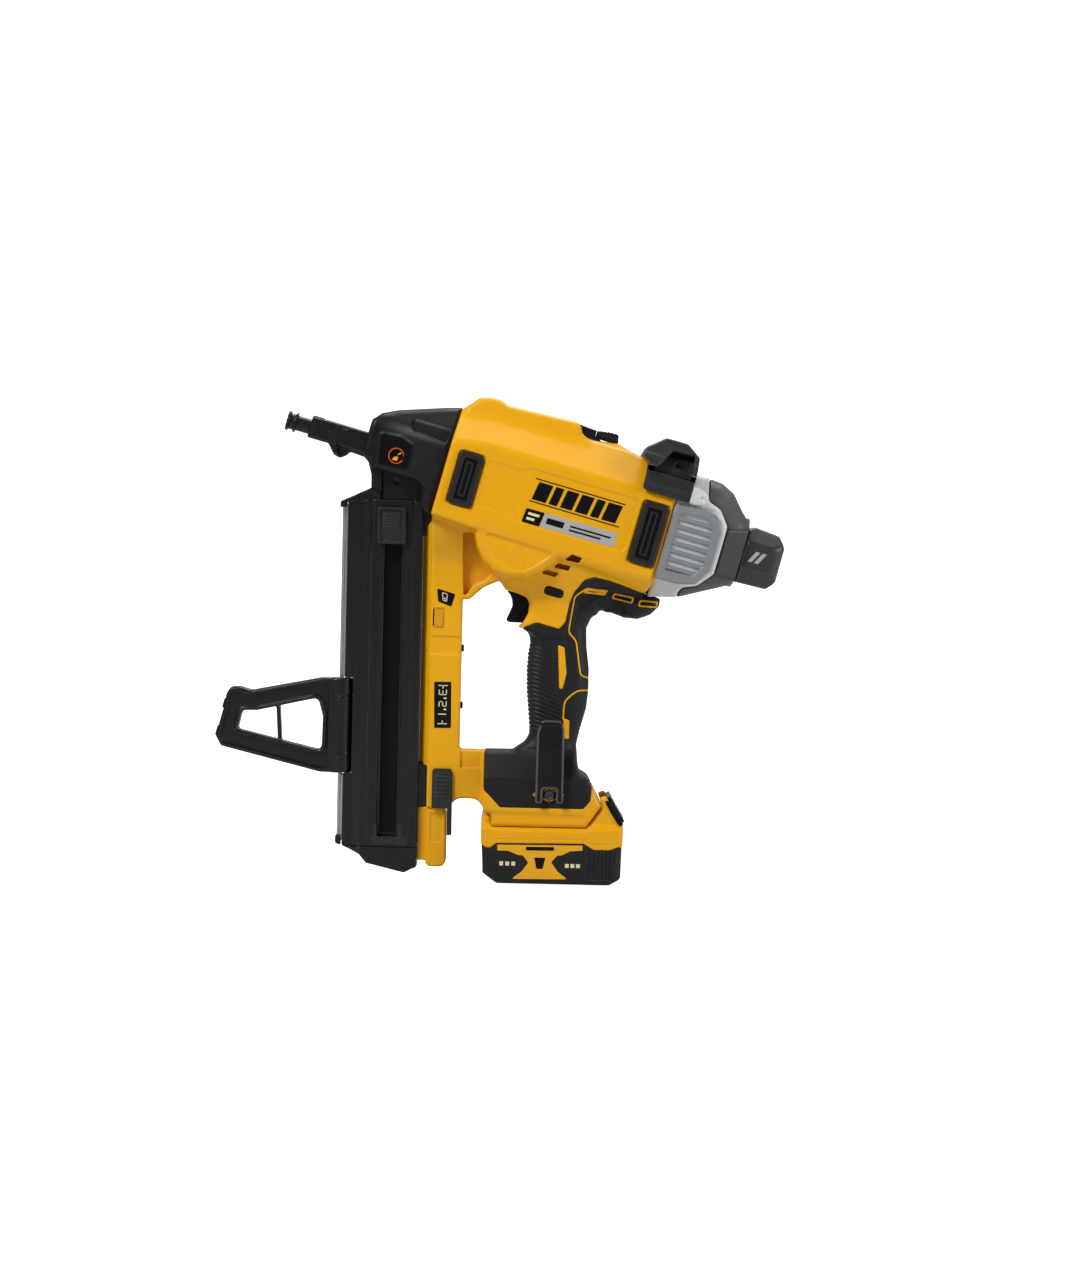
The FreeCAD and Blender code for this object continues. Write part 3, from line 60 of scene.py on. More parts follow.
# ---------------------------------------------------------------- distance fields on a grid
class Grid:
    """Sample points in a box; its sides lie along x, y, z or along a, y, b."""

    def __init__(self, low, high, step, drive=False):
        step *= COARSE
        self.step, self.drive = step, drive
        self.origin = np.array(low, float) - 2 * step
        axes = [np.arange(lo - 2 * step, hi + 3 * step, step, dtype=np.float32)
                for lo, hi in zip(low, high)]
        first = axes[0][:, None, None] + 0 * axes[2][None, None, :]
        third = axes[2][None, None, :] + 0 * axes[0][:, None, None]
        self.y = axes[1][None, :, None]
        self.w = np.abs(self.y)
        if drive:
            self.a, self.b = first, third
            self.x, self.z = to_model(first, third)
        else:
            self.x, self.z = first, third
            self.a, self.b = to_drive(first, third)


def softened(points, radius, steps=4):
    """An outline with its corners rounded; a third number at a point is its own radius."""
    found = []
    for i, point in enumerate(points):
        here = np.array(point[:2], float)
        back = np.array(points[i - 1][:2], float) - here
        on = np.array(points[(i + 1) % len(points)][:2], float) - here
        back_length, on_length = np.linalg.norm(back), np.linalg.norm(on)
        back, on = back / back_length, on / on_length
        angle = math.acos(max(-0.9999, min(0.9999, float(back @ on))))
        reach = (point[2] if len(point) > 2 else radius) / math.tan(angle / 2)
        reach = min(reach, 0.48 * back_length, 0.48 * on_length)
        if reach < 0.05:
            found.append(tuple(here))
            continue
        start, end = here + back * reach, here + on * reach
        for k in range(steps + 1):
            t = k / steps
            found.append(tuple((1 - t) ** 2 * start + 2 * t * (1 - t) * here + t * t * end))
    return found


def softened_line(points, radius, steps=4):
    """An open line with its corners rounded."""
    found = [points[0]]
    for i in range(1, len(points) - 1):
        here = np.array(points[i], float)
        back = np.array(points[i - 1], float) - here
        on = np.array(points[i + 1], float) - here
        reach = min(radius, 0.45 * np.linalg.norm(back), 0.45 * np.linalg.norm(on))
        start = here + back / np.linalg.norm(back) * reach
        end = here + on / np.linalg.norm(on) * reach
        for k in range(steps + 1):
            t = k / steps
            found.append(tuple((1 - t) ** 2 * start + 2 * t * (1 - t) * here + t * t * end))
    return found + [points[-1]]


def rectangle(left, low, right, high):
    """The four corners of an upright rectangle."""
    return [(left, low), (right, low), (right, high), (left, high)]


def outline(grid, points, radius=2.0, drive=False):
    """Signed distance in the side view to a closed outline."""
    u, v = (grid.a, grid.b) if drive else (grid.x, grid.z)
    corners = softened(points, radius)
    nearest = np.full(u.shape, 1e9, np.float32)
    inside = np.zeros(u.shape, bool)
    for (x0, z0), (x1, z1) in zip(corners, corners[1:] + corners[:1]):
        ex, ez = x1 - x0, z1 - z0
        t = np.clip(((u - x0) * ex + (v - z0) * ez) / max(ex * ex + ez * ez, 1e-9), 0, 1)
        nearest = np.minimum(nearest, (u - x0 - t * ex) ** 2 + (v - z0 - t * ez) ** 2)
        if z0 != z1:
            inside ^= ((z0 > v) != (z1 > v)) & (u < ex * (v - z0) / ez + x0)
    return np.where(inside, -1, 1) * np.sqrt(nearest)


def track(grid, points, drive=False):
    """Distance in the side view to an open line."""
    u, v = (grid.a, grid.b) if drive else (grid.x, grid.z)
    nearest = np.full(u.shape, 1e9, np.float32)
    for (x0, z0), (x1, z1) in zip(points, points[1:]):
        ex, ez = x1 - x0, z1 - z0
        t = np.clip(((u - x0) * ex + (v - z0) * ez) / (ex * ex + ez * ez), 0, 1)
        nearest = np.minimum(nearest, (u - x0 - t * ex) ** 2 + (v - z0 - t * ez) ** 2)
    return np.sqrt(nearest)


def prism(flat, across, radius):
    """Where both distances are negative, with the edge between them rounded."""
    u, v = flat + radius, across + radius
    return (np.minimum(np.maximum(u, v), 0)
            + np.sqrt(np.maximum(u, 0) ** 2 + np.maximum(v, 0) ** 2) - radius)


def join(p, q, radius):
    """Union with a fillet."""
    if radius <= 0:
        return np.minimum(p, q)
    h = np.maximum(radius - np.abs(p - q), 0) / radius
    return np.minimum(p, q) - h * h * radius / 4


def meet(p, q, radius):
    """Overlap with a rounded edge."""
    return -join(-p, -q, radius)


def both(first, *others):
    """The overlap of shapes, with sharp edges."""
    for other in others:
        first = np.maximum(first, other)
    return first


def cut(field, radius, *parts):
    """A shape without the overlap of the parts, with a rounded edge."""
    return meet(field, -both(*parts), radius)


def bar(value, low, high):
    """Signed distance to the slab between two levels."""
    return np.maximum(low - value, value - high)


def ramp(value, start, end):
    """0 before start, 1 after end, smooth between."""
    t = np.clip((value - start) / (end - start), 0, 1)
    return t * t * (3 - 2 * t)


def outline_of_revolution(value, points):
    """A radius along an axis, through the given (place, radius) points."""
    places, sizes = zip(*points)
    return np.interp(value, places, sizes).astype(np.float32)


def sample(field, points):
    """A field's value between its grid points."""
    top = np.array(field.shape) - 2
    base = np.clip(np.floor(points).astype(np.int64), 0, top)
    f = points - base
    total = np.zeros(len(points), np.float32)
    for di in (0, 1):
        for dj in (0, 1):
            for dk in (0, 1):
                weight = (np.abs(1 - di - f[:, 0]) * np.abs(1 - dj - f[:, 1])
                          * np.abs(1 - dk - f[:, 2]))
                total += weight * field[base[:, 0] + di, base[:, 1] + dj, base[:, 2] + dk]
    return total


def surface(field):
    """Vertices, quads and normals of a field's zero surface, in grid steps."""
    inside = field < 0
    shape = field.shape
    spots, cells, rings = [], [], []
    for axis in range(3):
        low = [slice(None)] * 3
        high = [slice(None)] * 3
        low[axis], high[axis] = slice(None, -1), slice(1, None)
        index = np.argwhere(inside[tuple(low)] != inside[tuple(high)])
        far = index.copy()
        far[:, axis] += 1
        near_value = field[tuple(index.T)]
        far_value = field[tuple(far.T)]
        spot = index.astype(np.float32)
        spot[:, axis] += near_value / (near_value - far_value)
        second, third = (axis + 1) % 3, (axis + 2) % 3
        ring = []
        for ds, dt in ((-1, -1), (0, -1), (0, 0), (-1, 0)):
            cell = index.copy()
            cell[:, second] += ds
            cell[:, third] += dt
            ring.append((cell[:, 0] * shape[1] + cell[:, 1]) * shape[2] + cell[:, 2])
            spots.append(spot)
        ring = np.stack(ring, 1)
        cells.append(ring.T.reshape(-1))
        outward = near_value < 0
        rings.append(np.where(outward[:, None], ring, ring[:, ::-1]))
    cells = np.concatenate(cells)
    spots = np.concatenate(spots)
    names, place = np.unique(cells, return_inverse=True)
    count = np.bincount(place)
    points = np.stack([np.bincount(place, spots[:, i]) / count for i in range(3)], 1)
    quads = np.searchsorted(names, np.concatenate(rings))
    for _ in range(2):
        value = sample(field, points)
        slope = gradient(field, points)
        size = np.maximum((slope ** 2).sum(1), 0.05 * (slope ** 2).sum(1).max())
        points -= np.clip((value / size)[:, None] * slope, -0.35, 0.35)
    slope = gradient(field, points)
    normals = slope / np.maximum(np.linalg.norm(slope, axis=1, keepdims=True), 1e-9)
    return points, quads, normals


def gradient(field, points):
    """Slope of a field, per grid step."""
    slope = np.zeros((len(points), 3), np.float32)
    for axis in range(3):
        shift = np.zeros(3)
        shift[axis] = 0.7
        slope[:, axis] = (sample(field, points + shift) - sample(field, points - shift)) / 1.4
    return slope


# ---------------------------------------------------------------- pieces
MATERIALS = {}


def finish_piece(thing, body, slot, stands_for=()):
    """A piece's material, the body it rides on and the CAD nodes it stands for."""
    thing.data.materials.clear()
    thing.data.materials.append(MATERIALS[slot])
    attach(thing, body)
    if stands_for:
        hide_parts(*stands_for)
    return thing


def mesh_piece(name, points, faces, normals=None):
    """A new mesh object from arrays in metres."""
    mesh = bpy.data.meshes.new(name)
    corners = faces.shape[1]
    mesh.vertices.add(len(points))
    mesh.vertices.foreach_set("co", points.astype(np.float32).reshape(-1))
    mesh.loops.add(faces.size)
    mesh.loops.foreach_set("vertex_index", faces.astype(np.int32).reshape(-1))
    mesh.polygons.add(len(faces))
    mesh.polygons.foreach_set("loop_start", np.arange(0, faces.size, corners, dtype=np.int32))
    mesh.update(calc_edges=True)
    mesh.polygons.foreach_set("use_smooth", np.ones(len(faces), bool))
    if normals is not None:
        mesh.normals_split_custom_set_from_vertices(normals.astype(np.float32))
    thing = bpy.data.objects.new(name, mesh)
    bpy.context.scene.collection.objects.link(thing)
    return thing


def mould(name, grid, field, slot, body="tool", stands_for=(), mirror=False):
    """A piece whose skin is a field's zero surface; it stands for the node of its own name."""
    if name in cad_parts:
        stands_for = [name]
    field = np.ascontiguousarray(np.broadcast_to(
        field, (grid.x.shape[0], grid.y.shape[1], grid.x.shape[2])), dtype=np.float32)
    points, quads, normals = surface(field)
    spots = grid.origin + points * grid.step
    if grid.drive:
        x, z = to_model(spots[:, 0], spots[:, 2])
        spots = np.stack([x, spots[:, 1], z], 1)
        nx = normals[:, 0] * math.cos(TILT) + normals[:, 2] * math.sin(TILT)
        nz = -normals[:, 0] * math.sin(TILT) + normals[:, 2] * math.cos(TILT)
        normals = np.stack([nx, normals[:, 1], nz], 1)
    if mirror:
        spots = spots * np.array([1, -1, 1])
        normals = normals * np.array([1, -1, 1])
        quads = quads[:, ::-1]
    thing = mesh_piece(name, spots * MM, quads, normals)
    return finish_piece(thing, body, slot, stands_for)


# ---------------------------------------------------------------- materials
def material(slot, colour, rough, grain=0.4, bump=0.15, drift=0.06, metal=0.0, coat=0.0,
             edge=0.0, weave=None, shine=0.35, glow=0.0):
    """A moulded, rubber or metal finish with its own grain, drift and worn edges."""
    made = bpy.data.materials.new(slot.replace(":", "_") + "_finish")
    made.use_nodes = True
    nodes, links = made.node_tree.nodes, made.node_tree.links
    nodes.clear()

    def add(kind, data_type=None, **inputs):
        """A node with its inputs set to values or linked to other nodes."""
        node = nodes.new("ShaderNode" + kind)
        if data_type:
            node.data_type = data_type
        for name, value in inputs.items():
            socket = node.inputs[name.replace("_", " ")]
            if isinstance(value, bpy.types.NodeSocket):
                links.new(value, socket)
            else:
                socket.default_value = value
        return node

    def shade(factor, lift=0.0):
        """The base colour, scaled and lifted."""
        return (*[min(1, c * factor + lift) for c in colour], 1)

    where = add("TexCoord").outputs["Object"]
    broad = add("TexNoise", Scale=22, Detail=3, Vector=where)
    tint = add("Mix", "RGBA", A=shade(1 - drift), B=shade(1 + drift), Factor=broad.outputs["Fac"])
    colour_out = tint.outputs["Result"]
    if edge:
        shape = add("NewGeometry")
        worn = add("MapRange", From_Min=0.53, From_Max=0.62, To_Max=edge,
                   Value=shape.outputs["Pointiness"])
        rub = add("Mix", "RGBA", A=colour_out, B=shade(1.5, 0.04), Factor=worn.outputs["Result"])
        colour_out = rub.outputs["Result"]
    grain_place = add("Mapping", Scale=weave, Vector=where).outputs["Vector"] if weave else where
    fine = add("TexNoise", Scale=1000 / grain, Detail=2, Vector=grain_place)
    smear = add("TexNoise", Scale=140, Detail=4, Vector=where)
    gloss = add("MapRange", To_Min=rough - 0.07, To_Max=rough + 0.07, Value=smear.outputs["Fac"])
    relief = add("Bump", Strength=bump, Distance=grain * MM * 0.5, Height=fine.outputs["Fac"])
    shader = add("BsdfPrincipled", Metallic=metal, Coat_Weight=coat, Coat_Roughness=0.25,
                 Specular_IOR_Level=shine, Emission_Color=(1, 1, 1, 1), Emission_Strength=glow,
                 Base_Color=colour_out, Roughness=gloss.outputs["Result"],
                 Normal=relief.outputs["Normal"])
    add("OutputMaterial", Surface=shader.outputs[0])
    MATERIALS[slot] = made
    return made


material("yellow", (0.8, 0.385, 0.004), 0.38, grain=0.5, bump=0.1, drift=0.03, coat=0.05,
         shine=0.25)
material("grip_rubber", (0.011, 0.011, 0.0115), 0.52, grain=0.5, bump=0.25, drift=0.15, edge=0.3,
         shine=0.25)
material("steel", (0.52, 0.52, 0.52), 0.38, grain=0.2, bump=0.08, metal=1.0, weave=(1, 1, 0.05))
material("dark_steel", (0.012, 0.012, 0.011), 0.36, drift=0.2, metal=0.3, edge=0.4, shine=0.4)
material("black_plastic", (0.006, 0.006, 0.0065), 0.42, bump=0.2, drift=0.15, edge=0.3, shine=0.24)
material("cast_metal", (0.5, 0.5, 0.5), 0.5, grain=0.8, bump=0.4, metal=0.9)
material("bumper_rubber", (0.014, 0.014, 0.014), 0.7, grain=0.5, bump=0.3, shine=0.14)
material("stator_steel", (0.2, 0.19, 0.18), 0.45, grain=0.3, bump=0.3, metal=0.8, weave=(1, 12, 1))
material("light_grey_metal", (0.62, 0.64, 0.65), 0.38, bump=0.12, drift=0.04, metal=0.1, shine=0.25)
material("light_grey_metal:panel", (0.24, 0.25, 0.26), 0.36, bump=0.12, metal=0.1, shine=0.25)
# Painted shade: a dark grey for the sheet laid between the vent ribs.
material("light_grey_metal:gap", (0.042, 0.045, 0.048), 0.5, bump=0.12, shine=0.2)
material("dome_grey", (0.08, 0.081, 0.083), 0.42, bump=0.2, drift=0.1, edge=0.2, shine=0.25)
material("cap_grey", (0.035, 0.035, 0.037), 0.38, bump=0.18, drift=0.1, edge=0.2, shine=0.4)
# Painted highlight: a lighter black for the pads' raised frames.
material("pad_rubber:frame", (0.016, 0.016, 0.017), 0.4, bump=0.2, drift=0.15, edge=0.3, shine=0.3)
material("pad_rubber", (0.004, 0.004, 0.004), 0.45, bump=0.2, drift=0.15, edge=0.3, shine=0.14)
material("lens", (0.66, 0.29, 0.006), 0.3, grain=0.6, bump=0.05, coat=0.2)
material("board", (0.02, 0.05, 0.02), 0.5, grain=0.8, bump=0.3)
material("magazine_black", (0.0045, 0.0045, 0.0045), 0.34, grain=0.35, bump=0.18, drift=0.2,
         edge=0.3, shine=0.45)
material("spring_steel", (0.4, 0.4, 0.42), 0.35, grain=0.2, bump=0.1, metal=1.0)
material("battery_black", (0.016, 0.016, 0.017), 0.45, grain=0.45, bump=0.22, drift=0.15, edge=0.3,
         shine=0.2)
material("cell_wrap", (0.02, 0.12, 0.08), 0.3, grain=0.8, bump=0.05, coat=0.4)
# Print ink, also used as painted shade on the floor of the magazine's channel.
material("black_plastic:ink", (0.005, 0.005, 0.005), 0.35, grain=0.3, bump=0.05, shine=0.14)
material("light_grey_metal:label", (0.40, 0.40, 0.39), 0.4, grain=0.3, bump=0.05)
material("yellow:signal", (0.62, 0.09, 0.015), 0.4, grain=0.3, bump=0.05, shine=0.25)
material("black_plastic:gloss", (0.004, 0.004, 0.0045), 0.3, bump=0.08, drift=0.1, shine=0.14)
# Painted highlight: a lighter, shinier black for the belt hook's rolled edges.
material("black_plastic:rim", (0.07, 0.07, 0.072), 0.3, bump=0.1, drift=0.12, shine=0.5)
material("steel:screw", (0.10, 0.10, 0.10), 0.35, grain=0.2, bump=0.08, metal=1.0)
material("black_plastic:lever", (0.021, 0.0215, 0.022), 0.36, bump=0.18, drift=0.12, edge=0.3)
material("yellow:label", (0.80, 0.40, 0.015), 0.35, grain=0.5, bump=0.03, drift=0.02, shine=0.25)
material("light_grey_metal:print", (0.75, 0.66, 0.42), 0.45, grain=0.3, bump=0.05)

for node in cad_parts.values():
    node.data.materials[0] = MATERIALS[node.data.materials[0].name.split(".")[0]]

# ---------------------------------------------------------------- outlines shared by several pieces
BARREL = [(138.8, -42), (138.8, 50.8), (200, 54), (252.5, 55.5), (281.5, 55.4), (293, 53.6),
          (330, 51.3), (330, -42), (327, -54), (300, -50), (160, -43)]
RIDGE = [(141, 40), (142, 53, 3), (150.5, 63.2, 6), (160, 66, 6), (167, 66, 5), (174.5, 63.3, 8),
         (233, 66.2, 3), (237.5, 64.2, 3), (241, 58), (252, 50), (252, 40)]
POD = [(173, -36), (176, -41.5), (182.7, -56.5), (191.7, -67.1), (202.3, -73.4), (213.3, -75.4),
       (227.9, -71.9), (237.8, -63.8), (257, -40.8), (255, -36)]
POD_INSIDE = [(186, -42.4), (192, -54.4), (200.6, -62.2), (214.6, -67.4), (226.4, -65),
              (235, -57.4), (247.6, -42.4)]
ZONE = [(-57, 262), (-48.6, 251.6), (-43.6, 244.4, 1), (-37.8, 243.1, 2), (-31.6, 241, 2),
        (-26, 238.4, 3), (-23.4, 233.6, 3), (-24.5, 224.9, 5), (-29.8, 215.6, 1), (-32.9, 214, 1),
        (-28, 212, 2), (-12, 205), (4, 205), (10, 214), (16, 236), (30, 245), (70.5, 244),
        (95, 268), (80, 300), (-30, 320), (-62, 300)]
GRIP = [(-21.5, 222), (-23.5, 214), (-21.9, 202), (-23.6, 192), (-24.4, 178), (-24, 160),
        (-22.3, 142), (-20.9, 125, 6), (-24, 116, 8), (-33, 109.6, 8), (-30, 88), (20, 88),
        (17.4, 99, 10), (17.8, 114), (20.9, 128.5), (26, 147), (27.5, 162), (27.4, 180),
        (25.1, 198), (24.6, 214), (28.8, 223, 7), (36.5, 227.4), (45, 227.4), (56, 223.4),
        (67.5, 222.5), (78, 226.4), (85, 233.5), (86, 240, 3), (72, 246), (72, 262), (10, 262)]
SKIN_EDGE = [(110, 240), (86, 240.2, 1), (72.5, 243.9, 2), (42.7, 254), (29.9, 256.8, 4),
             (22, 254.2, 4), (13.8, 243.6, 4), (10.6, 235.5, 4), (7, 218.5, 6), (1.9, 212.6, 3),
             (-16.6, 217.8, 4), (-24, 215.2, 2), (-40, 206), (-45, 130), (-70, 118), (-58.6, 109),
             (-58.3, 79.3, 2), (-44.2, 64, 2), (25.2, 64, 2), (31.4, 71, 2), (32.2, 82, 2),
             (60, 84), (110, 150)]
BASE = [(-58.4, 109.6, 2), (-58.3, 60, 4), (25.4, 58), (31.4, 70.6, 4), (32, 82, 4),
        (28.4, 88.6, 6), (20, 94, 6), (16, 112), (-22, 116), (-33, 109.8)]
SKIRT = [(-60, 67), (-51.5, 57.2, 3), (-51.2, 48.2, 1), (27.4, 48.2, 2), (40.2, 66.5, 2),
         (33.6, 80), (20, 86), (-50, 86)]
TOWER = [(-106, 60.5, 1), (-88.5, 60.5, 1), (-80, 69, 8), (-65, 69, 8), (-52, 57), (-44, 70),
         (-52, 109.4), (-79.5, 109.4, 3), (-79.5, 236, 5), (-74, 235.2, 6), (-62, 246, 6),
         (-48.8, 252, 3), (-58, 300), (-106, 308)]
POCKET = [(-79.6, 291.2, 1.5), (-71.5, 292.6, 2), (-68.9, 281, 10), (-64.2, 268.5, 12),
          (-55.6, 257.2, 3), (-61, 251.8, 6), (-70.6, 247.4, 8), (-78.6, 236.2, 3)]
STRIPES = [[(39.3, 244.1), (24.6, 247.8), (14.2, 240.3), (9.6, 210.6), (16.4, 203.2), (20.6, 174.4),
            (30, 171.4)],
           [(32, 162.3), (18.4, 161.8), (12.1, 157), (7.6, 152), (6.9, 138)]]
SLOTS = [[(24, 247.2), (41.2, 245.8), (38.9, 242.2), (22, 244)],
         [(47.4, 243.4), (63.4, 240.1), (61.7, 236), (45.6, 239.8)],
         [(68.9, 238.1), (83.6, 236.9), (82.4, 232.6), (67.7, 233.7)]]
SCREWS = [(True, 146.5, 42.5), (True, 322, 40), (True, 146.5, -34), (True, 322, -34),
          (False, -93.5, 121), (False, -93.5, 270.3), (False, 2, 129), (False, 45, 237.3)]
TRIGGER_SLOT = [(-46, 243), (-26, 243), (-19, 236), (-20, 214), (-46, 206)]
PADS = (("front", 148.2, 168.8, -28, 16), ("rear", 305.2, 326.8, -33, 19))
BUTTONS = (("light_button", 194.5), ("power_button", 146.7))
SIDES = (("left", False), ("right", True))
CREASE = 25.0        # where the barrel's flat side turns into its sloped shoulder
BARREL_HALF = 43.6   # from the middle plane to the barrel's flat side
BEVEL = 0.7071       # scales a 45 degree slope back to a true distance
WALL = 2.8           # of the moulded shells
ROD_X = -179.75      # the axis of the magazine's rod
LEVER_PIVOT = (350.3, 32.8)
HOOK_SCREW = (-3.4, 75.6)


def handle(grid):
    """The trigger zone, grip, horn and base as one smooth body."""
    w = grid.w
    width = np.clip(23.5 + (grid.b + 80) * 0.42, 22.5, 39.5)
    body = prism(outline(grid, ZONE, 4), w - width, 6)
    grip_width = 18.8 + 1.2 * np.cos((grid.z - 170) / 22)
    grip = prism(outline(grid, GRIP, 5), w - grip_width, 13)
    body = join(body, grip, 5)
    base_width = 36.6 - np.maximum(grid.z - 89.5, 0) * 0.95
    base = prism(outline(grid, BASE, 2), w - np.maximum(base_width, 15.6), 3.2)
    return join(body, base, 7)


def barrel(grid):
    """The yellow barrel with its shoulders, ridge and pod, before details."""
    w = grid.w
    crease = CREASE - 2.5 + 4 * ramp(grid.a, 138, 168)
    body = prism(outline(grid, BARREL, 2, True), w - BARREL_HALF, 3.2)
    body = meet(body, (w - BARREL_HALF + grid.b - crease) * BEVEL, 2.6)
    under = (w - BARREL_HALF - (grid.b + 42.5) * 0.75) * 0.8
    body = meet(body, under, 3)
    ridge = prism(outline(grid, RIDGE, 4, True), w - 21 + (grid.b - 45) * 0.22, 4.5)
    body = join(body, ridge, 3.5)
    mount = prism(outline(grid, [(250, 50), (256, 56), (273, 58.6), (283, 54.5), (284, 50)], 2,
                          True), w - 9, 3)
    body = join(body, mount, 3)
    pod = prism(outline(grid, POD, 5, True), w - 42.2, 7)
    inner = outline(grid, POD_INSIDE, 5, True)
    pod = cut(pod, 0.9, inner, 40.9 - w)
    for start in (196, 208, 220):
        tilt = outline(grid, [(start, -48), (start + 4.5, -48), (start + 7.5, -60),
                              (start + 3, -60)], 0.6, True)
        pod = join(pod, prism(tilt, np.abs(w - 40.9) - 0.7, 0.3), 0.5)
    return join(body, pod, 1.6)


def housing(grid):
    """The outside of the yellow housing, with everything sunk into it."""
    w = grid.w
    skin_edge = outline(grid, SKIN_EDGE, 3)
    whole = handle(grid)
    body = join(barrel(grid), meet(whole, 0.2 - skin_edge, 0.9), 3)
    flare = 15 + 13 * ramp(grid.z, 262, 300)
    tower = prism(outline(grid, TOWER, 4), w - flare, 2.6)
    pocket = outline(grid, POCKET, 2)
    tower = cut(tower, 1.2, pocket, 6.5 - w)
    upper_arm = outline(grid, rectangle(-78, 112, -60.4, 95), 1)
    tower = cut(tower, 1, upper_arm, 12.8 - w)
    step = bar(grid.z, 190, 204) * 0.7
    tower = cut(tower, 1.5, step, 13.9 - w, -106 - grid.x)
    body = join(body, tower, 3)
    strip = prism(outline(grid, [(-113.2, 96), (-104, 96), (-104, 304), (-113.2, 292)], 1.2),
                  (w - 3.5 - 9.5 * ramp(grid.x, -113.5, -105)) * 0.8, 1)
    body = join(body, strip, 1.2)
    skirt = prism(outline(grid, SKIRT, 2), w - 35.6, 4)
    body = join(body, meet(skirt, 0.2 - skin_edge, 0.9), 3)
    # sunk: pads, label panel, groove under the barrel, vents, lock-off and trigger slot
    for _, start, end, low, high in PADS:
        pad = outline(grid, rectangle(start - 0.8, low - 0.8, end + 0.8, high + 0.8), 3, True)
        body = cut(body, 0.8, pad, 41.6 - w)
    panel = outline(grid, rectangle(204, -27, 301, 17.6), 5, True)
    body = cut(body, 1.3, panel, 42.8 - w)
    step_in = outline(grid, rectangle(173.4, -24, 204, 14), 2, True)
    body = cut(body, 1.1, step_in, 43.1 - w)
    for run in ([(255.8, -46.8), (267.6, -46.4), (269.2, -41.6), (260, -41)],
                [(248.6, -55.4), (261, -54.8), (262.3, -50.7), (251.3, -51.1)],
                [(240.4, -63), (251.9, -62.6), (254.4, -58.8), (242.8, -59.2)]):
        body = cut(body, 0.3, outline(grid, run, 0.3, True), 22 - w)
    lock = outline(grid, [
        (246.4, -78.7), (262.95, -78.5), (262.95, -71.5), (246.6, -71.5)], 3.4, True)
    body = cut(body, 0.8, lock)
    trigger = outline(grid, TRIGGER_SLOT, 2)
    body = cut(body, 0.7, trigger, w - 8.1)
    lens = outline(grid, rectangle(-103.6, 211.5, -94, 228.5), 1.6)
    body = join(body, prism(np.abs(lens) - 0.9, w - 15.7, 0.6), 0.7)
    body = cut(body, 0.5, lens, 14.4 - w)
    for _, level in BUTTONS:
        hole = np.sqrt(grid.y ** 2 + (grid.z - level) ** 2) - 3.35
        body = cut(body, 0.4, hole, -91 - grid.x)
    core = meet(handle(grid) + 2.6, outline(grid, SKIN_EDGE, 3) - 1, 0.5)
    body = join(body, core, 0.5)
    rail = prism(outline(grid, rectangle(-70, 40, 60, 57.6), 0.5), w - 26, 0.5)
    return cut(body, 0.8, rail)


def screw_holes(grid, field, chosen, radius):
    """Round sinks over the housing screws, on the right-hand side only."""
    for drive, u, v in chosen:
        across = (grid.a - u, grid.b - v) if drive else (grid.x - u, grid.z - v)
        field = cut(field, 0.5, np.sqrt(across[0] ** 2 + across[1] ** 2) - radius)
    return field


def make_housing():
    """Both yellow halves, hollow, with a fine seam between them."""
    grid = Grid((-116, -46, 46), (106, 0.5, 406), 0.85)
    solid = housing(grid)
    shell = cut(solid, 0.3, solid + WALL)
    shell = cut(shell, 0.5, grid.a - 148, grid.w - 28, np.abs(grid.b) - 29)
    shell = cut(shell, 0.5, 318 - grid.a, grid.w - 36, np.abs(grid.b + 5) - 29)
    mould("housing_left", grid, meet(shell, grid.y + 0.12, 0.9), "yellow")
    for u, v in ((146.5, 42.5), (322, 40)):
        post = np.sqrt((grid.a - u) ** 2 + (grid.b - v) ** 2) - 6.6
        shell = join(shell, np.maximum(post, bar(grid.w, 24, 43.2)), 1.5)
    shell = screw_holes(grid, shell, SCREWS, 4.0)
    mould("housing_right", grid, meet(shell, grid.y + 0.12, 0.9), "yellow", mirror=True)


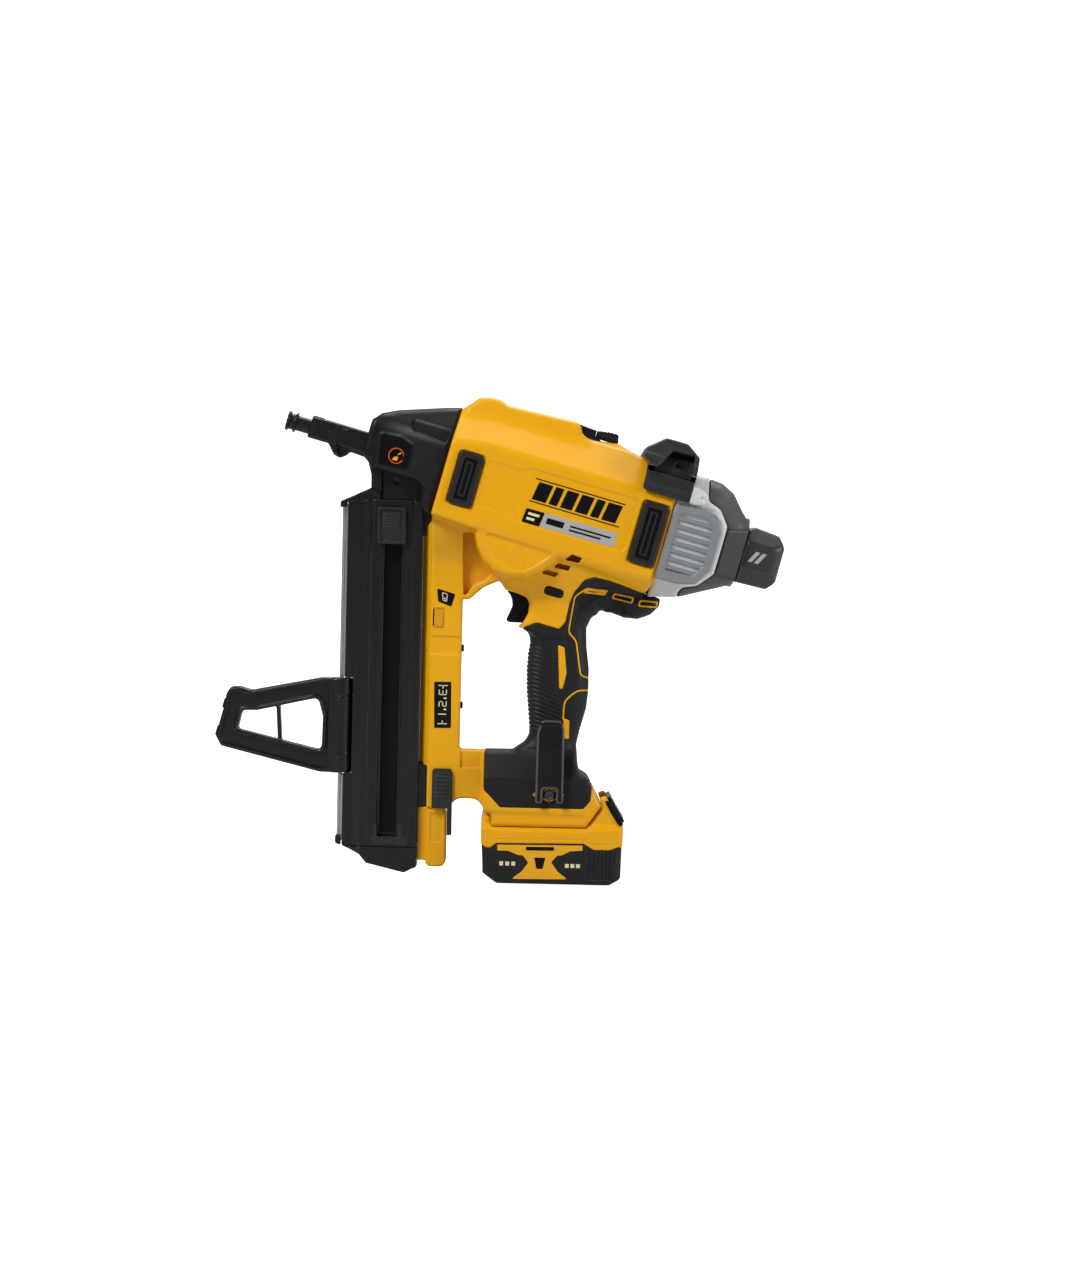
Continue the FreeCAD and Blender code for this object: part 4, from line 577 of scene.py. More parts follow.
def make_skin():
    """The soft grip with its ribbed front, pinstripes and slots."""
    grid = Grid((-60, -39, 62), (90, 0.5, 258), 0.66)
    w = grid.w
    edge = outline(grid, SKIN_EDGE, 3)
    whole = handle(grid)
    ribbed = ramp(-outline(grid, [(-40, 205), (-2, 199), (2, 163), (8, 140), (2, 128), (-40, 126)],
                           8), 0, 3)
    wave = 0.5 + 0.5 * np.cos((grid.z + 0.25 * grid.x + 0.004 * (grid.x + 20) ** 2) * 2
                              * np.pi / 3.6)
    outside = whole - 0.25 + 0.9 * ribbed * wave
    groove = np.maximum(1.3 - np.abs(track(grid, [
        (-49, 89), (-43.8, 91.7), (15.3, 94.8), (23, 88)])), 0)
    outside = outside + 0.25 * groove
    dish = outline(grid, [
        (29, 236.5), (43, 239.8), (56, 233), (57, 226), (45, 229.5), (33, 225)], 4)
    outside = outside + 1.6 * ramp(-dish, -1.5, 2.5)
    skin = meet(outside, edge + 0.2, 1.0)
    skin = cut(skin, 0.3, whole + 2.5)
    stripes = []
    for line in STRIPES:
        stripes.append(track(grid, softened_line(line, 3)) - 0.75)
    stripes.append(outline(grid, [(1.2, 200), (6.8, 197.6), (9, 176), (6, 163), (3, 163)], 1.2))
    stripes.append(outline(grid, [(6.7, 139), (12.4, 136.7), (12.2, 121), (8.4, 121)], 0.8))
    for slot in SLOTS:
        stripes.append(np.abs(outline(grid, slot, 0.6)) - 0.75)
    for slot in SLOTS[1:]:
        skin = cut(skin, 0.4, outline(grid, slot, 0.6), 15.5 - w)
    inlay = np.minimum.reduce(stripes)
    inlay_body = meet(np.maximum(inlay, -(whole + 1.2)), whole - 0.42, 0.5)
    slot_fill = meet(outline(grid, SLOTS[0], 0.6), whole - 0.2, 0.4)
    skin = np.maximum(skin, -np.maximum(inlay - 0.1, -(whole + 1.4)))
    trigger = outline(grid, TRIGGER_SLOT, 2)
    skin = cut(skin, 0.7, trigger, w - 8.1)
    skin = meet(skin, grid.y + 0.1, 0.8)
    inlay_body = np.minimum(inlay_body, np.maximum(slot_fill, -(whole + 1.2)))
    inlay_body = np.maximum(inlay_body, grid.y + 0.1)
    mould("grip_skin_left", grid, skin, "grip_rubber")
    mould("grip_stripe_left", grid, inlay_body, "yellow")
    skin = screw_holes(grid, skin, SCREWS[6:], 4.0)
    mould("grip_skin_right", grid, skin, "grip_rubber", mirror=True)
    inlay_body = screw_holes(grid, inlay_body, SCREWS[6:], 4.2)
    mould("grip_stripe_right", grid, inlay_body, "yellow", mirror=True)


# ---------------------------------------------------------------- nose
def nose_half(a):
    """The nose cover's half width along the drive line."""
    return 25.5 + 15.5 * ramp(a, 74, 150)


def make_nose():
    """The black cover behind the nosepiece, its side panels and the nosepiece itself."""
    grid = Grid((67, -43, -47), (139.6, 43, 53), 0.75, drive=True)
    w = grid.w
    cover = outline(grid, [
        (69.2, -5.5, 4), (69.6, 20.3, 3), (76, 28, 4), (88.8, 34.4, 4), (128, 47.9, 6),
        (138.7, 50.9, 1), (138.7, -43, 1), (132.8, -41.3, 4), (126.6, -34, 6), (124.8, -21.5, 5),
        (120, -17.9, 5), (89, -18.3, 4), (79.5, -19.5, 3), (77.3, -15.5, 2), (72.1, -12, 3)], 2,
            True)
    width = nose_half(grid.a)
    body = prism(cover, w - width, 4.5)
    body = meet(body, (w - width + (grid.b - 21) * 0.85) * 0.76, 5)
    whole = body
    scoop = outline(grid, [(101.5, 26, 3), (107, 20.3, 3), (134, 17.8, 2), (134.6, 44, 4),
                           (127, 43.8, 6), (108, 37, 6)], 3, True)
    floor = np.maximum(width - 8, 16)
    body = cut(body, 1.6, scoop, floor - w)
    frame_edge = outline(grid, [
        (78.8, 12.6), (97, 14), (109.2, 9.8), (110.4, -13.6), (83.9, -15.4)], 3, True)
    body = join(body, prism(frame_edge, w - width - 0.5, 1.5), 1.2)
    body = cut(body, 0.6, whole + WALL, w - np.maximum(width - 11, 13))
    body = cut(body, 0.8, 133 - grid.a, w - 27, np.abs(grid.b - 2) - 30)
    hole = both(w - 12.5, np.abs(grid.b) - 9.6, grid.a - 82)
    body = cut(body, 0.8, hole)
    under = both(grid.x + 112.6, -180 - grid.x, w - 15, grid.z - 345)
    body = cut(body, 0.8, under)
    mould("nose_cover", grid, body, "black_plastic")
    for side, mirror in SIDES:
        small = Grid((76, -42, -18), (113, -24, 17), 0.45, drive=True)
        panel = outline(small, [(80, 11.6), (96.8, 12.8), (107.9, 9), (109, -12.4), (84.9, -14.2)],
                        2.4, True)
        level = small.w - nose_half(small.a)
        plate = prism(np.maximum(panel, -level - 0.6), level - 1.3, 0.7)
        mould("nose_panel_" + side, small, plate, "black_plastic:gloss", mirror=mirror)

    grid = Grid((18.5, -12.5, -19.5), (80, 12.5, 11.5), 0.5, drive=True)
    w = grid.w
    block = prism(outline(grid, [
        (20.5, -9), (20.5, 9, 1), (80, 9, 1), (80, -9)], 1, True), w - 10.6, 2.5)
    pad = prism(outline(grid, [
        (20.8, 7), (20.8, 10.2, 1.2), (30.4, 10.2, 1.2), (31.4, 7)], 1, True), w - 6.5, 1)
    rail = prism(outline(grid, [(31, 7), (33, 9.8, 1), (69, 9.4, 1), (69, 7)], 1, True), w - 4, 1)
    lug = prism(outline(grid, [(36, -6), (38.5, -8.6, 2), (45.6, -16.6, 2), (51, -18.2, 3),
                               (55.4, -14.9, 2), (58.4, -10.8, 2), (72, -11.8), (72, -6)], 1, True),
                w - 6.6, 1.4)
    body = join(join(join(block, pad, 0.8), rail, 0.8), lug, 1.5)
    stud = prism(outline(grid, rectangle(48, 3, 53, 6.2), 0.6, True), w - 11.6, 0.5)
    body = join(body, stud, 0.4)
    cheek = prism(outline(grid, [(36.6, 0.6, 1), (45.4, 1.6, 1), (46.2, -8.6, 2), (49.6, -15.6, 1),
                                 (45.2, -15.4, 2), (38.6, -7.6, 2)], 1, True), w - 11.5, 0.7)
    body = join(body, cheek, 0.6)
    bore = np.sqrt(grid.y ** 2 + grid.b ** 2) - 6.5
    body = cut(body, 0.4, bore, grid.a - 59)
    body = meet(body, 2.5 - np.sqrt(grid.y ** 2 + grid.b ** 2), 0.3)
    body = cut(body, 0.3, w - 2.5, grid.b, 60.5 - grid.a)
    mould("nose_block", grid, body, "dark_steel")

    grid = Grid((-0.6, -9, -9), (47, 9, 9), 0.4, drive=True)
    r = np.sqrt(grid.y ** 2 + grid.b ** 2)
    profile = outline_of_revolution(grid.a, [
        (0, 7.6), (0.5, 8.2), (2.2, 8.2), (2.7, 6.7), (6.4, 6.7), (6.8, 8.4), (8.2, 8.4),
        (8.7, 6.35), (46, 6.35)])
    tube = both(r - profile, -grid.a, grid.a - 46)
    teeth = np.abs(np.mod(np.arctan2(grid.y, grid.b) * 6 / np.pi, 1) - 0.5) - 0.22
    tube = cut(tube, 0.3, teeth * 3.5, grid.a - 0.9, 4.2 - r)
    tube = meet(tube, 2.35 - r, 0.3)
    mould("contact_trip", grid, tube, "dark_steel", body="contact_trip")


# ---------------------------------------------------------------- rear end
RING = [(330.3, -55.5), (330.3, 51.2), (352.9, 52.2, 1), (356.6, 33, 7), (367.5, 29.4, 7),
        (377.2, 17, 5), (377.2, -23.8, 3), (366.5, -37, 8), (355, -42.2, 5), (352.8, -51.2, 2),
        (331, -57, 2)]
DOME = [(351, 52.4, 2), (364.9, 51.3, 8), (376.6, 45.5, 8), (386.5, 33, 8), (393.3, 26.6, 3),
        (396.2, 21, 2), (395.4, -27.4, 3), (384, -34, 8), (366, -44, 8), (353, -51.3, 2),
        (340, -40), (340, 40)]
CAP = [(390, 19, 2), (396.1, 20.5, 3), (401.2, 23.8, 3), (422.8, 22, 5), (429.6, 13, 5),
       (429.9, -16, 5), (424, -23.8, 4), (394.2, -25, 2), (390, -25)]


def make_rear():
    """The light ring, its ribbed vents, the dark dome and the end cap."""
    grid = Grid((329, -43.5, -59), (380, 43.5, 54), 0.8, drive=True)
    w = grid.w
    ring = prism(outline(grid, RING, 2, True), w - 42.4, 3)
    ring = meet(ring, (w - 42.4 + grid.b - 25.5) * BEVEL, 3)
    ring = meet(ring, (w - 42.4 - (grid.b + 38)) * BEVEL, 4)
    whole = ring
    groove = np.abs(grid.b + 43.5) - 0.9
    ring = cut(ring, 0.5, groove, grid.a - 346, 38 - w)
    ring = cut(ring, 0.5, whole + 3)
    boss = np.sqrt((grid.a - LEVER_PIVOT[0]) ** 2 + (grid.b - LEVER_PIVOT[1]) ** 2)
    ring = join(ring, prism(boss - 5.4, w - 43, 1), 1.2)
    pin = np.maximum(boss - 3.2, 36 - w)
    ring = cut(ring, 0.4, pin)
    mould("rear_ring", grid, ring, "light_grey_metal")

    grid = Grid((330.6, -47.5, -42), (378, -38, 33), 0.5, drive=True)
    w = grid.w
    plate = outline(grid, [
        (331.4, 23, 2), (354, 25.6, 8), (368.2, 23.2, 9), (373, 11, 9), (373.2, -22, 10),
        (364.6, -36.2, 9), (350, -40, 8), (331.4, -40.4, 2)], 4, True)
    panel = prism(np.maximum(plate, 40 - w), w - 45.4, 1.6)
    well = outline(grid, [(336.2, 17.5), (357, 18.6), (365.2, 14.6), (366.8, -20), (360.6, -30.4),
                          (336.2, -31.6)], 3, True)
    panel = cut(panel, 0.8, well, 41 - w)
    for index in range(7):
        level = 13 - 6.9 * index
        rib = np.sqrt(np.maximum(np.abs(grid.b - level) - 0.8, 0) ** 2
                      + np.maximum(w - 43.4, 0) ** 2) - 1.2
        panel = join(panel, both(rib, well - 0.2, 40 - w), 0.4)
    for side, mirror in SIDES:
        mould("vent_panel_" + side, grid, panel, "light_grey_metal:panel", mirror=mirror)
        # Painted shade: a dark sheet over the well's floor darkens the gaps between the ribs.
        mould("vent_painted_shade_" + side, grid, np.maximum(well + 0.2, np.abs(w - 41.2) - 1),
              "light_grey_metal:gap", mirror=mirror)

    grid = Grid((339, -39.5, -54), (398, 39.5, 54), 0.85, drive=True)
    w = grid.w
    flat = outline(grid, DOME, 3, True)
    dome = prism(flat, w - 38.5 + 0.12 * np.maximum(grid.a - 360, 0), 15)
    dome = meet(dome, (w - 38 + (grid.b - 24) * 0.9) * 0.74, 9)
    collar = np.sqrt(grid.y ** 2 + (grid.b + 0.5) ** 2)
    dome = join(dome, np.maximum(np.abs(collar - 27.5) - 2.2, np.abs(grid.a - 392.5) - 3.2), 2)
    dome = cut(dome, 0.3, dome + WALL)
    dome = cut(dome, 1.2, collar - 24.9, 370 - grid.a)
    back = outline(grid, [(377.7, 17), (377.7, -24), (366.8, -37.5), (355.4, -42.6), (353, -60),
                          (330, -60), (330, 60), (353, 60), (357.1, 33.4), (367.8, 29.8)], 4, True)
    dome = cut(dome, 0.8, back, w - 60)
    seat = outline(grid, [(377.5, 15.2), (384, 17), (392, 19.4), (401, 22), (401, -25.4),
                          (384, -25), (377.5, -24)], 1, True)
    dome = cut(dome, 0.5, seat + 1.3, 22 - w)
    mould("rear_dome", grid, dome, "dome_grey")

    grid = Grid((376, -39, -27), (431, 39, 25.5), 0.6, drive=True)
    w = grid.w
    tall = np.abs(grid.b + 0.5)
    cap = prism(outline(grid, CAP, 3, True), w - 24.3, 2.5)
    cap = meet(cap, (w + tall - 35.3) * BEVEL, 1.6)
    cap = meet(cap, (w + grid.a - 448) * BEVEL, 4)
    neck = np.sqrt(grid.y ** 2 + (grid.b + 0.5) ** 2) - (18.5 + 0.42 * (grid.a - 379))
    cap = meet(cap, neck, 1.5)
    flange = prism(outline(grid, [(377.7, 14.8, 1), (383.2, 16.4, 2), (398, 20), (398, -24.6),
                                  (384, -24.3, 2), (377.7, -23.4, 1)], 1, True),
                   (w - 40.4 + 0.62 * (grid.a - 377)) * 0.85, 2)
    cap = join(cap, flange, 1.5)
    inset = both(np.abs(grid.a - 411) - 13.5, np.abs(grid.b + 1) - 8.6, 23.5 - w)
    cap = cut(cap, 0.7, inset)
    cap = cut(cap, 0.4, np.abs(grid.a - 396.5) - 0.5, 23.6 - w)
    hollow = np.maximum(np.sqrt(grid.y ** 2 + grid.b ** 2) - 15.5, grid.a - 418)
    cap = cut(cut(cap, 0.5, hollow), 0.4, flange + 2.6, grid.a - 396)
    mould("rear_cap", grid, cap, "cap_grey")


def make_pads():
    """The rubber bumpers on the barrel's sides."""
    for place, start, end, low, high in PADS:
        grid = Grid((start - 1, -48, low - 1), (end + 1, -41, high + 1), 0.42, drive=True)
        w = grid.w
        edge = outline(grid, rectangle(start, low, end, high), 3, True)
        pad = prism(np.maximum(edge, 41.7 - w), w - 46.4, 1.8)
        pad = cut(pad, 1, edge + 4.6, 44.6 - w)
        middle = (start + end) / 2
        slot = outline(grid, rectangle(middle - 2.4, low + 8, middle + 2.4, high - 8), 0.8, True)
        pad = join(pad, both(np.abs(slot) - 0.7, w - 45.5, 42 - w), 0.5)
        inner = np.maximum(edge + 4.9, np.abs(w - 43.9) - 0.9)
        for side, mirror in SIDES:
            # Painted highlight: the frame is a lighter black for the light its bevels catch; the
            # sheet in the recess keeps the darker rubber.
            mould(f"{place}_pad_{side}", grid, pad, "pad_rubber:frame", mirror=mirror)
            mould(f"{place}_pad_inner_{side}", grid, inner, "pad_rubber", mirror=mirror)


def make_lever():
    """The stall lever over the barrel and the ribbed slider in front of it."""
    grid = Grid((291, -50, 25), (358, 50, 75), 0.8, drive=True)
    w = grid.w
    arm = outline(grid, [
        (300.5, 27.4, 3), (338.6, 26.6, 3), (346, 26.4, 4), (355.6, 28, 5), (356, 36, 5),
        (349, 40, 4), (341.2, 41, 2), (339.6, 64.6, 4), (333.5, 68.8, 3), (327, 73.2, 3),
        (309, 73.2, 4), (295.6, 62, 3), (293.4, 54, 2), (299.5, 50, 2)], 2, True)
    outer = prism(arm, w - 48.5, 1.8)
    outer = meet(outer, (w - 48.5 + (grid.b - 52) * 0.8) * 0.78, 3)
    outer = cut(outer, 0.8, w - 44.4, -1)
    strap = outline(grid, [(293.4, 54, 2), (295.6, 62, 3), (309, 73.2, 4), (327, 73.2, 3),
                           (333.5, 68.8, 3), (339.4, 64.8, 2), (339.4, 60, 2), (328, 60.5),
                           (311, 64), (301, 53.8, 2)], 2, True)
    top = prism(strap, w - 32, 4)
    lever = join(outer, top, 3)
    upper_side = both(arm, 22 - w, (w - 48.5 + (grid.b - 52) * 0.8) * 0.78)
    upper_side = np.maximum(upper_side, 44 - grid.b)
    lever = join(lever, upper_side, 1.5)
    inside = (w - 44.6 + np.maximum(grid.b - 25.5, 0)) * BEVEL
    barrel_way = np.maximum(inside, w - 44.6)
    barrel_way = np.maximum(barrel_way, grid.b - 53.4)
    lever = cut(lever, 0.6, barrel_way)
    opening = outline(grid, [(304.2, 45), (306, 47), (316.4, 64.2), (335.4, 65.2), (336.2, 43.4)],
                      1.6, True)
    floor = 40 - 0.95 * np.maximum(grid.b - 50, 0)
    lever = cut(lever, 1, opening, floor - w)
    notch = outline(grid, [(320, 52), (325, 58.6), (334, 58.6), (334, 52)], 1.5, True)
    lever = cut(lever, 0.8, notch, 29 - w)
    roller = np.sqrt((grid.b - 35.8) ** 2 + (w - 40.8) ** 2) - 8.3
    roller = meet(np.maximum(roller, 44.7 - w), bar(grid.a, 302.5, 338.6), 1.2)
    lever = join(lever, roller, 0.8)
    window = both(np.abs(grid.a - 318) - 8.5, w - 22, 71.6 - grid.b)
    lever = cut(lever, 0.8, window)
    for across in (-14, -7, 0, 7, 14):
        lever = join(lever, both(np.abs(grid.y - across) - 1.2, np.abs(grid.a - 318) - 8,
                                 np.abs(grid.b - 71.4) - 1.4), 0.5)
    pivot = np.sqrt((grid.a - LEVER_PIVOT[0]) ** 2 + (grid.b - LEVER_PIVOT[1]) ** 2)
    lever = join(lever, prism(pivot - 4.6, np.maximum(w - 49, 44.4 - w), 0.8), 0.6)
    lever = np.minimum(lever, both(pivot - 2.9, 39.5 - w, w - 48))
    lever = cut(lever, 0.4, pivot - 1.7, 47.8 - w)
    mould("stall_lever", grid, meet(lever, grid.a - 340.7, 0.5), "black_plastic:lever",
          body="stall_lever")
    mould("lever_links", grid, meet(lever, 340.9 - grid.a, 0.5), "light_grey_metal",
          body="stall_lever")

    grid = Grid((236, -7, 55), (273, 7, 68.5), 0.4, drive=True)
    w = grid.w
    slider = prism(outline(grid, [
        (252, 62), (252, 58), (271, 57.4, 1), (271.6, 60, 1.5), (270, 66.4, 2), (262, 66, 2),
        (252, 64.4, 2)], 0.6, True), w - 6, 0.8)
    grip = 0.55 * (0.5 + 0.5 * np.cos((grid.a - 254) * 2 * np.pi / 3.0)) * ramp(grid.a, 252, 253.5)
    slider = slider + grip * ramp(grid.b, 60, 62)
    mould("top_slider", grid, slider, "black_plastic", body="top_slider")
    grid = Grid((228, -10, 49), (258, 10, 67), 0.45, drive=True)
    ramp_body = prism(outline(grid, [
        (230, 64.6), (236, 65.3), (244, 64.5), (251.6, 64), (251.6, 59.4), (257, 57), (257, 50),
        (230, 54)], 0.3, True), grid.w - 9, 0.8)
    mould("slider_ramp", grid, ramp_body, "black_plastic")


# ---------------------------------------------------------------- controls on the handle
def make_controls():
    """Trigger, lock-off, the two round buttons and the lamp's lens."""
    grid = Grid((-44.5, -8.5, 213), (-20.5, 8.5, 245), 0.4)
    w = grid.w
    shape = outline(grid, [
        (-42.8, 243.6), (-37.8, 243), (-31.6, 241.6, 2), (-25.4, 239.6, 3), (-22.4, 234.4, 3),
        (-23.2, 226, 5), (-28.4, 217, 1), (-40.2, 217.2, 2), (-42.8, 219.2, 1.5), (-40.3, 224.6, 6),
        (-37.6, 231, 6), (-38, 236, 5), (-39.6, 240.2, 3)], 0.6)
    trigger = prism(shape, w - 7.3, 2.4)
    line = np.abs(track(grid, [(-36.2, 239), (-33.4, 232), (-34.5, 224), (-38, 219)])) - 0.4
    trigger = cut(trigger, 0.4, line, 6.9 - w)
    pivot = np.sqrt((grid.x + 31) ** 2 + (grid.z - 237.8) ** 2)
    trigger = cut(trigger, 0.3, pivot - 1.6, w - 6)
    mould("trigger", grid, trigger, "black_plastic:gloss", body="trigger")
    mould("trigger_pin", grid, prism(pivot - 1.5, w - 5.8, 0.3), "dark_steel")

    grid = Grid((-14.5, -26, 235.5), (8.5, 26, 252.5), 0.4)
    w = grid.w
    shape = outline(grid, rectangle(246.9, -78.2, 262.7, -71.8), 3.1, True)
    button = prism(shape, w - 25.6, 1.3)
    button = cut(button, 0.4, shape + 1.5, 25.1 - w)
    button = join(button, prism(shape - 1.5, w - 13, 0.5), 0.3)
    mould("lock_off_button", grid, button, "black_plastic", body="lock_off")

    for name, level in BUTTONS:
        grid = Grid((-86.5, -3.5, level - 3.5), (-76.5, 3.5, level + 3.5), 0.3)
        r = np.sqrt(grid.y ** 2 + (grid.z - level) ** 2)
        knob = prism(r - 3, bar(grid.x, -86, -77.2), 0.8)
        dish = np.sqrt(grid.y ** 2 + (grid.z - level) ** 2 + (grid.x + 70.6) ** 2) - 7.3
        knob = cut(knob, 0.4, dish)
        mould(name, grid, knob, "black_plastic", body=name)

    grid = Grid((-104.5, -17, 210), (-93, -13.5, 230), 0.3)
    w = grid.w
    shape = outline(grid, rectangle(-102.6, 212.5, -95, 227.5), 1.2)
    lens = prism(np.maximum(shape, 14.2 - w), w - 15.6 + 0.25 * np.abs(np.sin(grid.z * 1.3)), 0.4)
    mould("lamp_lens", grid, lens, "lens")


# ---------------------------------------------------------------- magazine
def make_magazine():
    """The upright magazine with its window, top and bottom caps, pusher, latch and shoe."""
    grid = Grid((-179, -15, 26), (-105, 15, 318.4), 0.75)
    w, x, z = grid.w, grid.x, grid.z
    width = 8.8 + 5.2 * np.clip((x + 168) / 6.5, 0, 1)
    case = prism(bar(z, 27, 317.4), np.maximum(w - width, bar(x, -176.7, -113.6)), 1.0)
    case = meet(case, w - width, 0.8)
    case = cut(case, 0.5, bar(x, -156.4, -155.2), 13.2 - w)
    case = cut(case, 0.5, bar(x, -122, -121), 13.3 - w)
    left = -grid.y
    window = outline(grid, [
        (-147.5, 46, 2), (-150.5, 40, 2), (-150.5, 36), (-126, 36), (-126, 40, 2), (-129, 46, 2),
        (-129, 304), (-147.5, 304)], 1)
    case = cut(case, 0.8, window, 4.5 - left)
    rail = np.maximum(np.abs(np.abs(x + 138.2) - 8) - 0.9, np.abs(left - 7) - 2.4)
    case = join(case, np.maximum(rail, bar(z, 38, 300)), 0.5)
    case = cut(case, 0.4, bar(x, -172, -119), w - 3.2, -1)
    notch = np.maximum(np.minimum(x + 169.9, np.sqrt(grid.y ** 2 + (x - ROD_X) ** 2) - 10.4),
                       bar(z, 87.3, 168))
    case = cut(case, 0.8, notch)
    hinge = prism(outline(grid, rectangle(-115, 61, -106, 98), 1), w - 8.6, 1)
    case = join(case, hinge, 0.4)
    mould("magazine_body", grid, case, "magazine_black")
    for name, low, high in (("rod_rail_lower", 31, 86.8), ("rod_rail_upper", 168.7, 313)):
        grid = Grid((-179.5, -6, low - 1), (-175, 6, high + 1), 0.6)
        mould(name, grid, prism(np.maximum(bar(grid.x, -178.4, -176), bar(grid.z, low, high)),
                                grid.w - 4.8, 0.6), "steel")
    # Painted shade: a near-black sheet on the channel's floor makes the deep channel read darker.
    grid = Grid((-150, -7, 38), (-126, -3, 304), 0.6)
    mould("channel_painted_shade", grid, both(bar(grid.x, -147.2, -129.3), bar(grid.z, 39, 303),
                                      np.abs(grid.w - 4.6) - 0.5), "black_plastic:ink")

    grid = Grid((-184.5, -14.5, 286), (-104, 14.5, 356), 0.6)
    w, x, z = grid.w, grid.x, grid.z
    cap = prism(outline(grid, [
        (-183.4, 310.6), (-183, 315.6, 1.5), (-158, 327, 1), (-150.5, 324, 3), (-148, 316.4),
        (-113.6, 316.4), (-113.6, 315), (-177.9, 315), (-177.9, 310.6)], 0.6), w - 13.6, 1)
    cap = meet(cap, w - 9.2 - 4.6 * ramp(x, -170, -164), 0.8)
    front = prism(outline(grid, [
        (-159.4, 316.5), (-157.6, 326), (-157.8, 338), (-160.5, 348.5), (-155, 353.5),
        (-148.2, 350), (-148.2, 321, 2), (-151, 317.7)], 1.5), w - 12.4, 1.4)
    neck = prism(outline(grid, [(-151, 316.5), (-113.6, 316.5), (-113.6, 330), (-118, 338),
                                (-128, 342), (-150, 352)], 1), w - 9, 1)
    hollow = np.maximum(bar(x, -168, -119.5), w - 3.2)
    web = prism(np.maximum(bar(x, -116, -106.5), bar(z, 288, 331)), w - 7, 1)
    cap = cut(join(join(join(cap, front, 0.8), neck, 0.8), web, 0.6), 0.4, hollow)
    hole = np.maximum(np.sqrt(grid.y ** 2 + (x - ROD_X) ** 2) - 1.8, z - 313)
    cap = cut(cap, 0.3, hole)
    dot = np.sqrt((x + 137) ** 2 + (z - 333) ** 2) - 2
    cap = cut(cap, 0.4, dot, 8.2 - w)
    mould("magazine_top", grid, cap, "magazine_black")

    grid = Grid((-184.5, -15, 4.5), (-112.5, 15, 37), 0.6)
    w, x, z = grid.w, grid.x, grid.z
    foot = prism(outline(grid, [
        (-182.2, 35.6, 1), (-182.2, 28.6, 2), (-175.6, 26.4, 2), (-162, 20.4, 3), (-155.7, 13, 2),
        (-123.6, 5.5, 3), (-117, 9, 2), (-113.6, 12, 1), (-113.6, 26.9), (-178, 26.9),
        (-178, 35.6)],
            1), w - 14, 1.5)
    width = 8.8 + 5.2 * np.clip((x + 170) / 8, 0, 1)
    foot = meet(foot, (w - width) * 0.85, 1)
    foot = cut(foot, 0.4, bar(x, -172, -119), w - 3.2, 20 - z)
    hole = np.maximum(np.sqrt(grid.y ** 2 + (x - ROD_X) ** 2) - 1.8, 30.8 - z)
    foot = cut(foot, 0.3, hole)
    pin = np.sqrt((x + 116.6) ** 2 + (z - 12.6) ** 2)
    foot = join(foot, prism(pin - 3.6, w - 11, 1), 1)
    mould("magazine_end_cap", grid, foot, "magazine_black")

    grid = Grid((-154, -17.5, 24), (-119, -12, 52), 0.45)
    w, x, z = grid.w, grid.x, grid.z
    lip = outline(grid, [(-152.4, 28.4, 3), (-120.6, 28.4, 3), (-120.6, 35), (-125.2, 37, 2),
                         (-126.6, 46, 2), (-130, 46), (-130, 35.6, 2), (-147, 35.6, 2), (-147, 46),
                         (-150.2, 46, 2), (-150.6, 37, 2), (-152.4, 35)], 1.4)
    lip = prism(np.maximum(lip, 12.6 - w), w - 14.3, 0.5)
    tongue = outline(grid, rectangle(-143.5, 29.6, -132.5, 34), 0.8)
    tongue = prism(tongue, np.maximum(w - 16, 13.5 - w), 0.6)
    mould("magazine_catch", grid, join(lip, tongue, 0.5), "black_plastic:lever")

    grid = Grid((-172, -19.5, 279.5), (-119.5, 3.4, 312.5), 0.5)
    w, x, z = -grid.y, grid.x, grid.z
    knob_edge = outline(grid, rectangle(-151.6, 280.6, -127.4, 311.4), 2.2)
    knob = prism(knob_edge, np.abs(w - 16.3) - 1.7, 1)
    knob = cut(knob, 0.5, knob_edge + 2.4, 15.6 - w + 0.02 * (z - 280))
    for index in range(6):
        level = 307.2 - 2.5 * index
        rib = np.sqrt((z - level) ** 2 + (w - 16) ** 2) - 0.95
        knob = join(knob, np.maximum(rib, np.abs(x + 139.5) - 7), 0.3)
    neck = prism(np.maximum(np.abs(x + 138.2) - 6, bar(z, 281, 311)), bar(w, 2, 16), 0.6)
    follower = prism(np.maximum(bar(x, -171, -120.5), bar(z, 280.6, 311.4)), np.abs(w) - 2.8, 0.5)
    mould("pusher", grid, join(join(knob, neck, 0.4), follower, 0.4), "black_plastic:lever",
          body="pusher")

    grid = Grid((-102.5, -21, 37), (-83.5, -14.8, 95), 0.45)
    w, x, z = grid.w, grid.x, grid.z
    latch = outline(grid, [(-101.4, 60.6, 1), (-88.4, 60.6), (-88.2, 38.2, 1), (-84.2, 38.2, 1),
                           (-84.4, 91, 2), (-86, 94, 1), (-100, 94, 2), (-101.4, 92, 1)], 0.8)
    body = prism(np.maximum(latch, 15.5 - w), w - 18.3, 1)
    grips = ramp(np.minimum(np.minimum(z - 68, 90 - z), np.minimum(x + 99, -87 - x)), 0, 1)
    body = body - 1.0 * grips * (0.5 + 0.5 * np.cos((z - 70) * 2 * np.pi / 3.4)) * (w > 16.5)
    mould("magazine_latch", grid, body, "black_plastic:lever", body="magazine_latch")

    grid = Grid((-114, -13.5, 9.5), (-87.5, 13.5, 62), 0.6)
    w, x, z = grid.w, grid.x, grid.z
    shoe = prism(outline(grid, [(-106, 60.9), (-106, 13.5, 2), (-103, 11.2, 2), (-92, 11.2, 3),
                                (-88.9, 15, 3), (-88.9, 56, 3), (-91, 60.9)], 1), w - 13, 2)
    strip = prism(outline(grid, [(-113.2, 60.9), (-113.2, 16, 1), (-104, 16), (-104, 60.9)], 1),
                  w - 8.8, 1)
    shoe = join(shoe, strip, 0.8)
    shoe = cut(shoe, 0.6, np.abs(x + 97) - 5, np.abs(z - 44) - 12, 12.3 - w)
    mould("magazine_shoe", grid, shoe, "yellow")


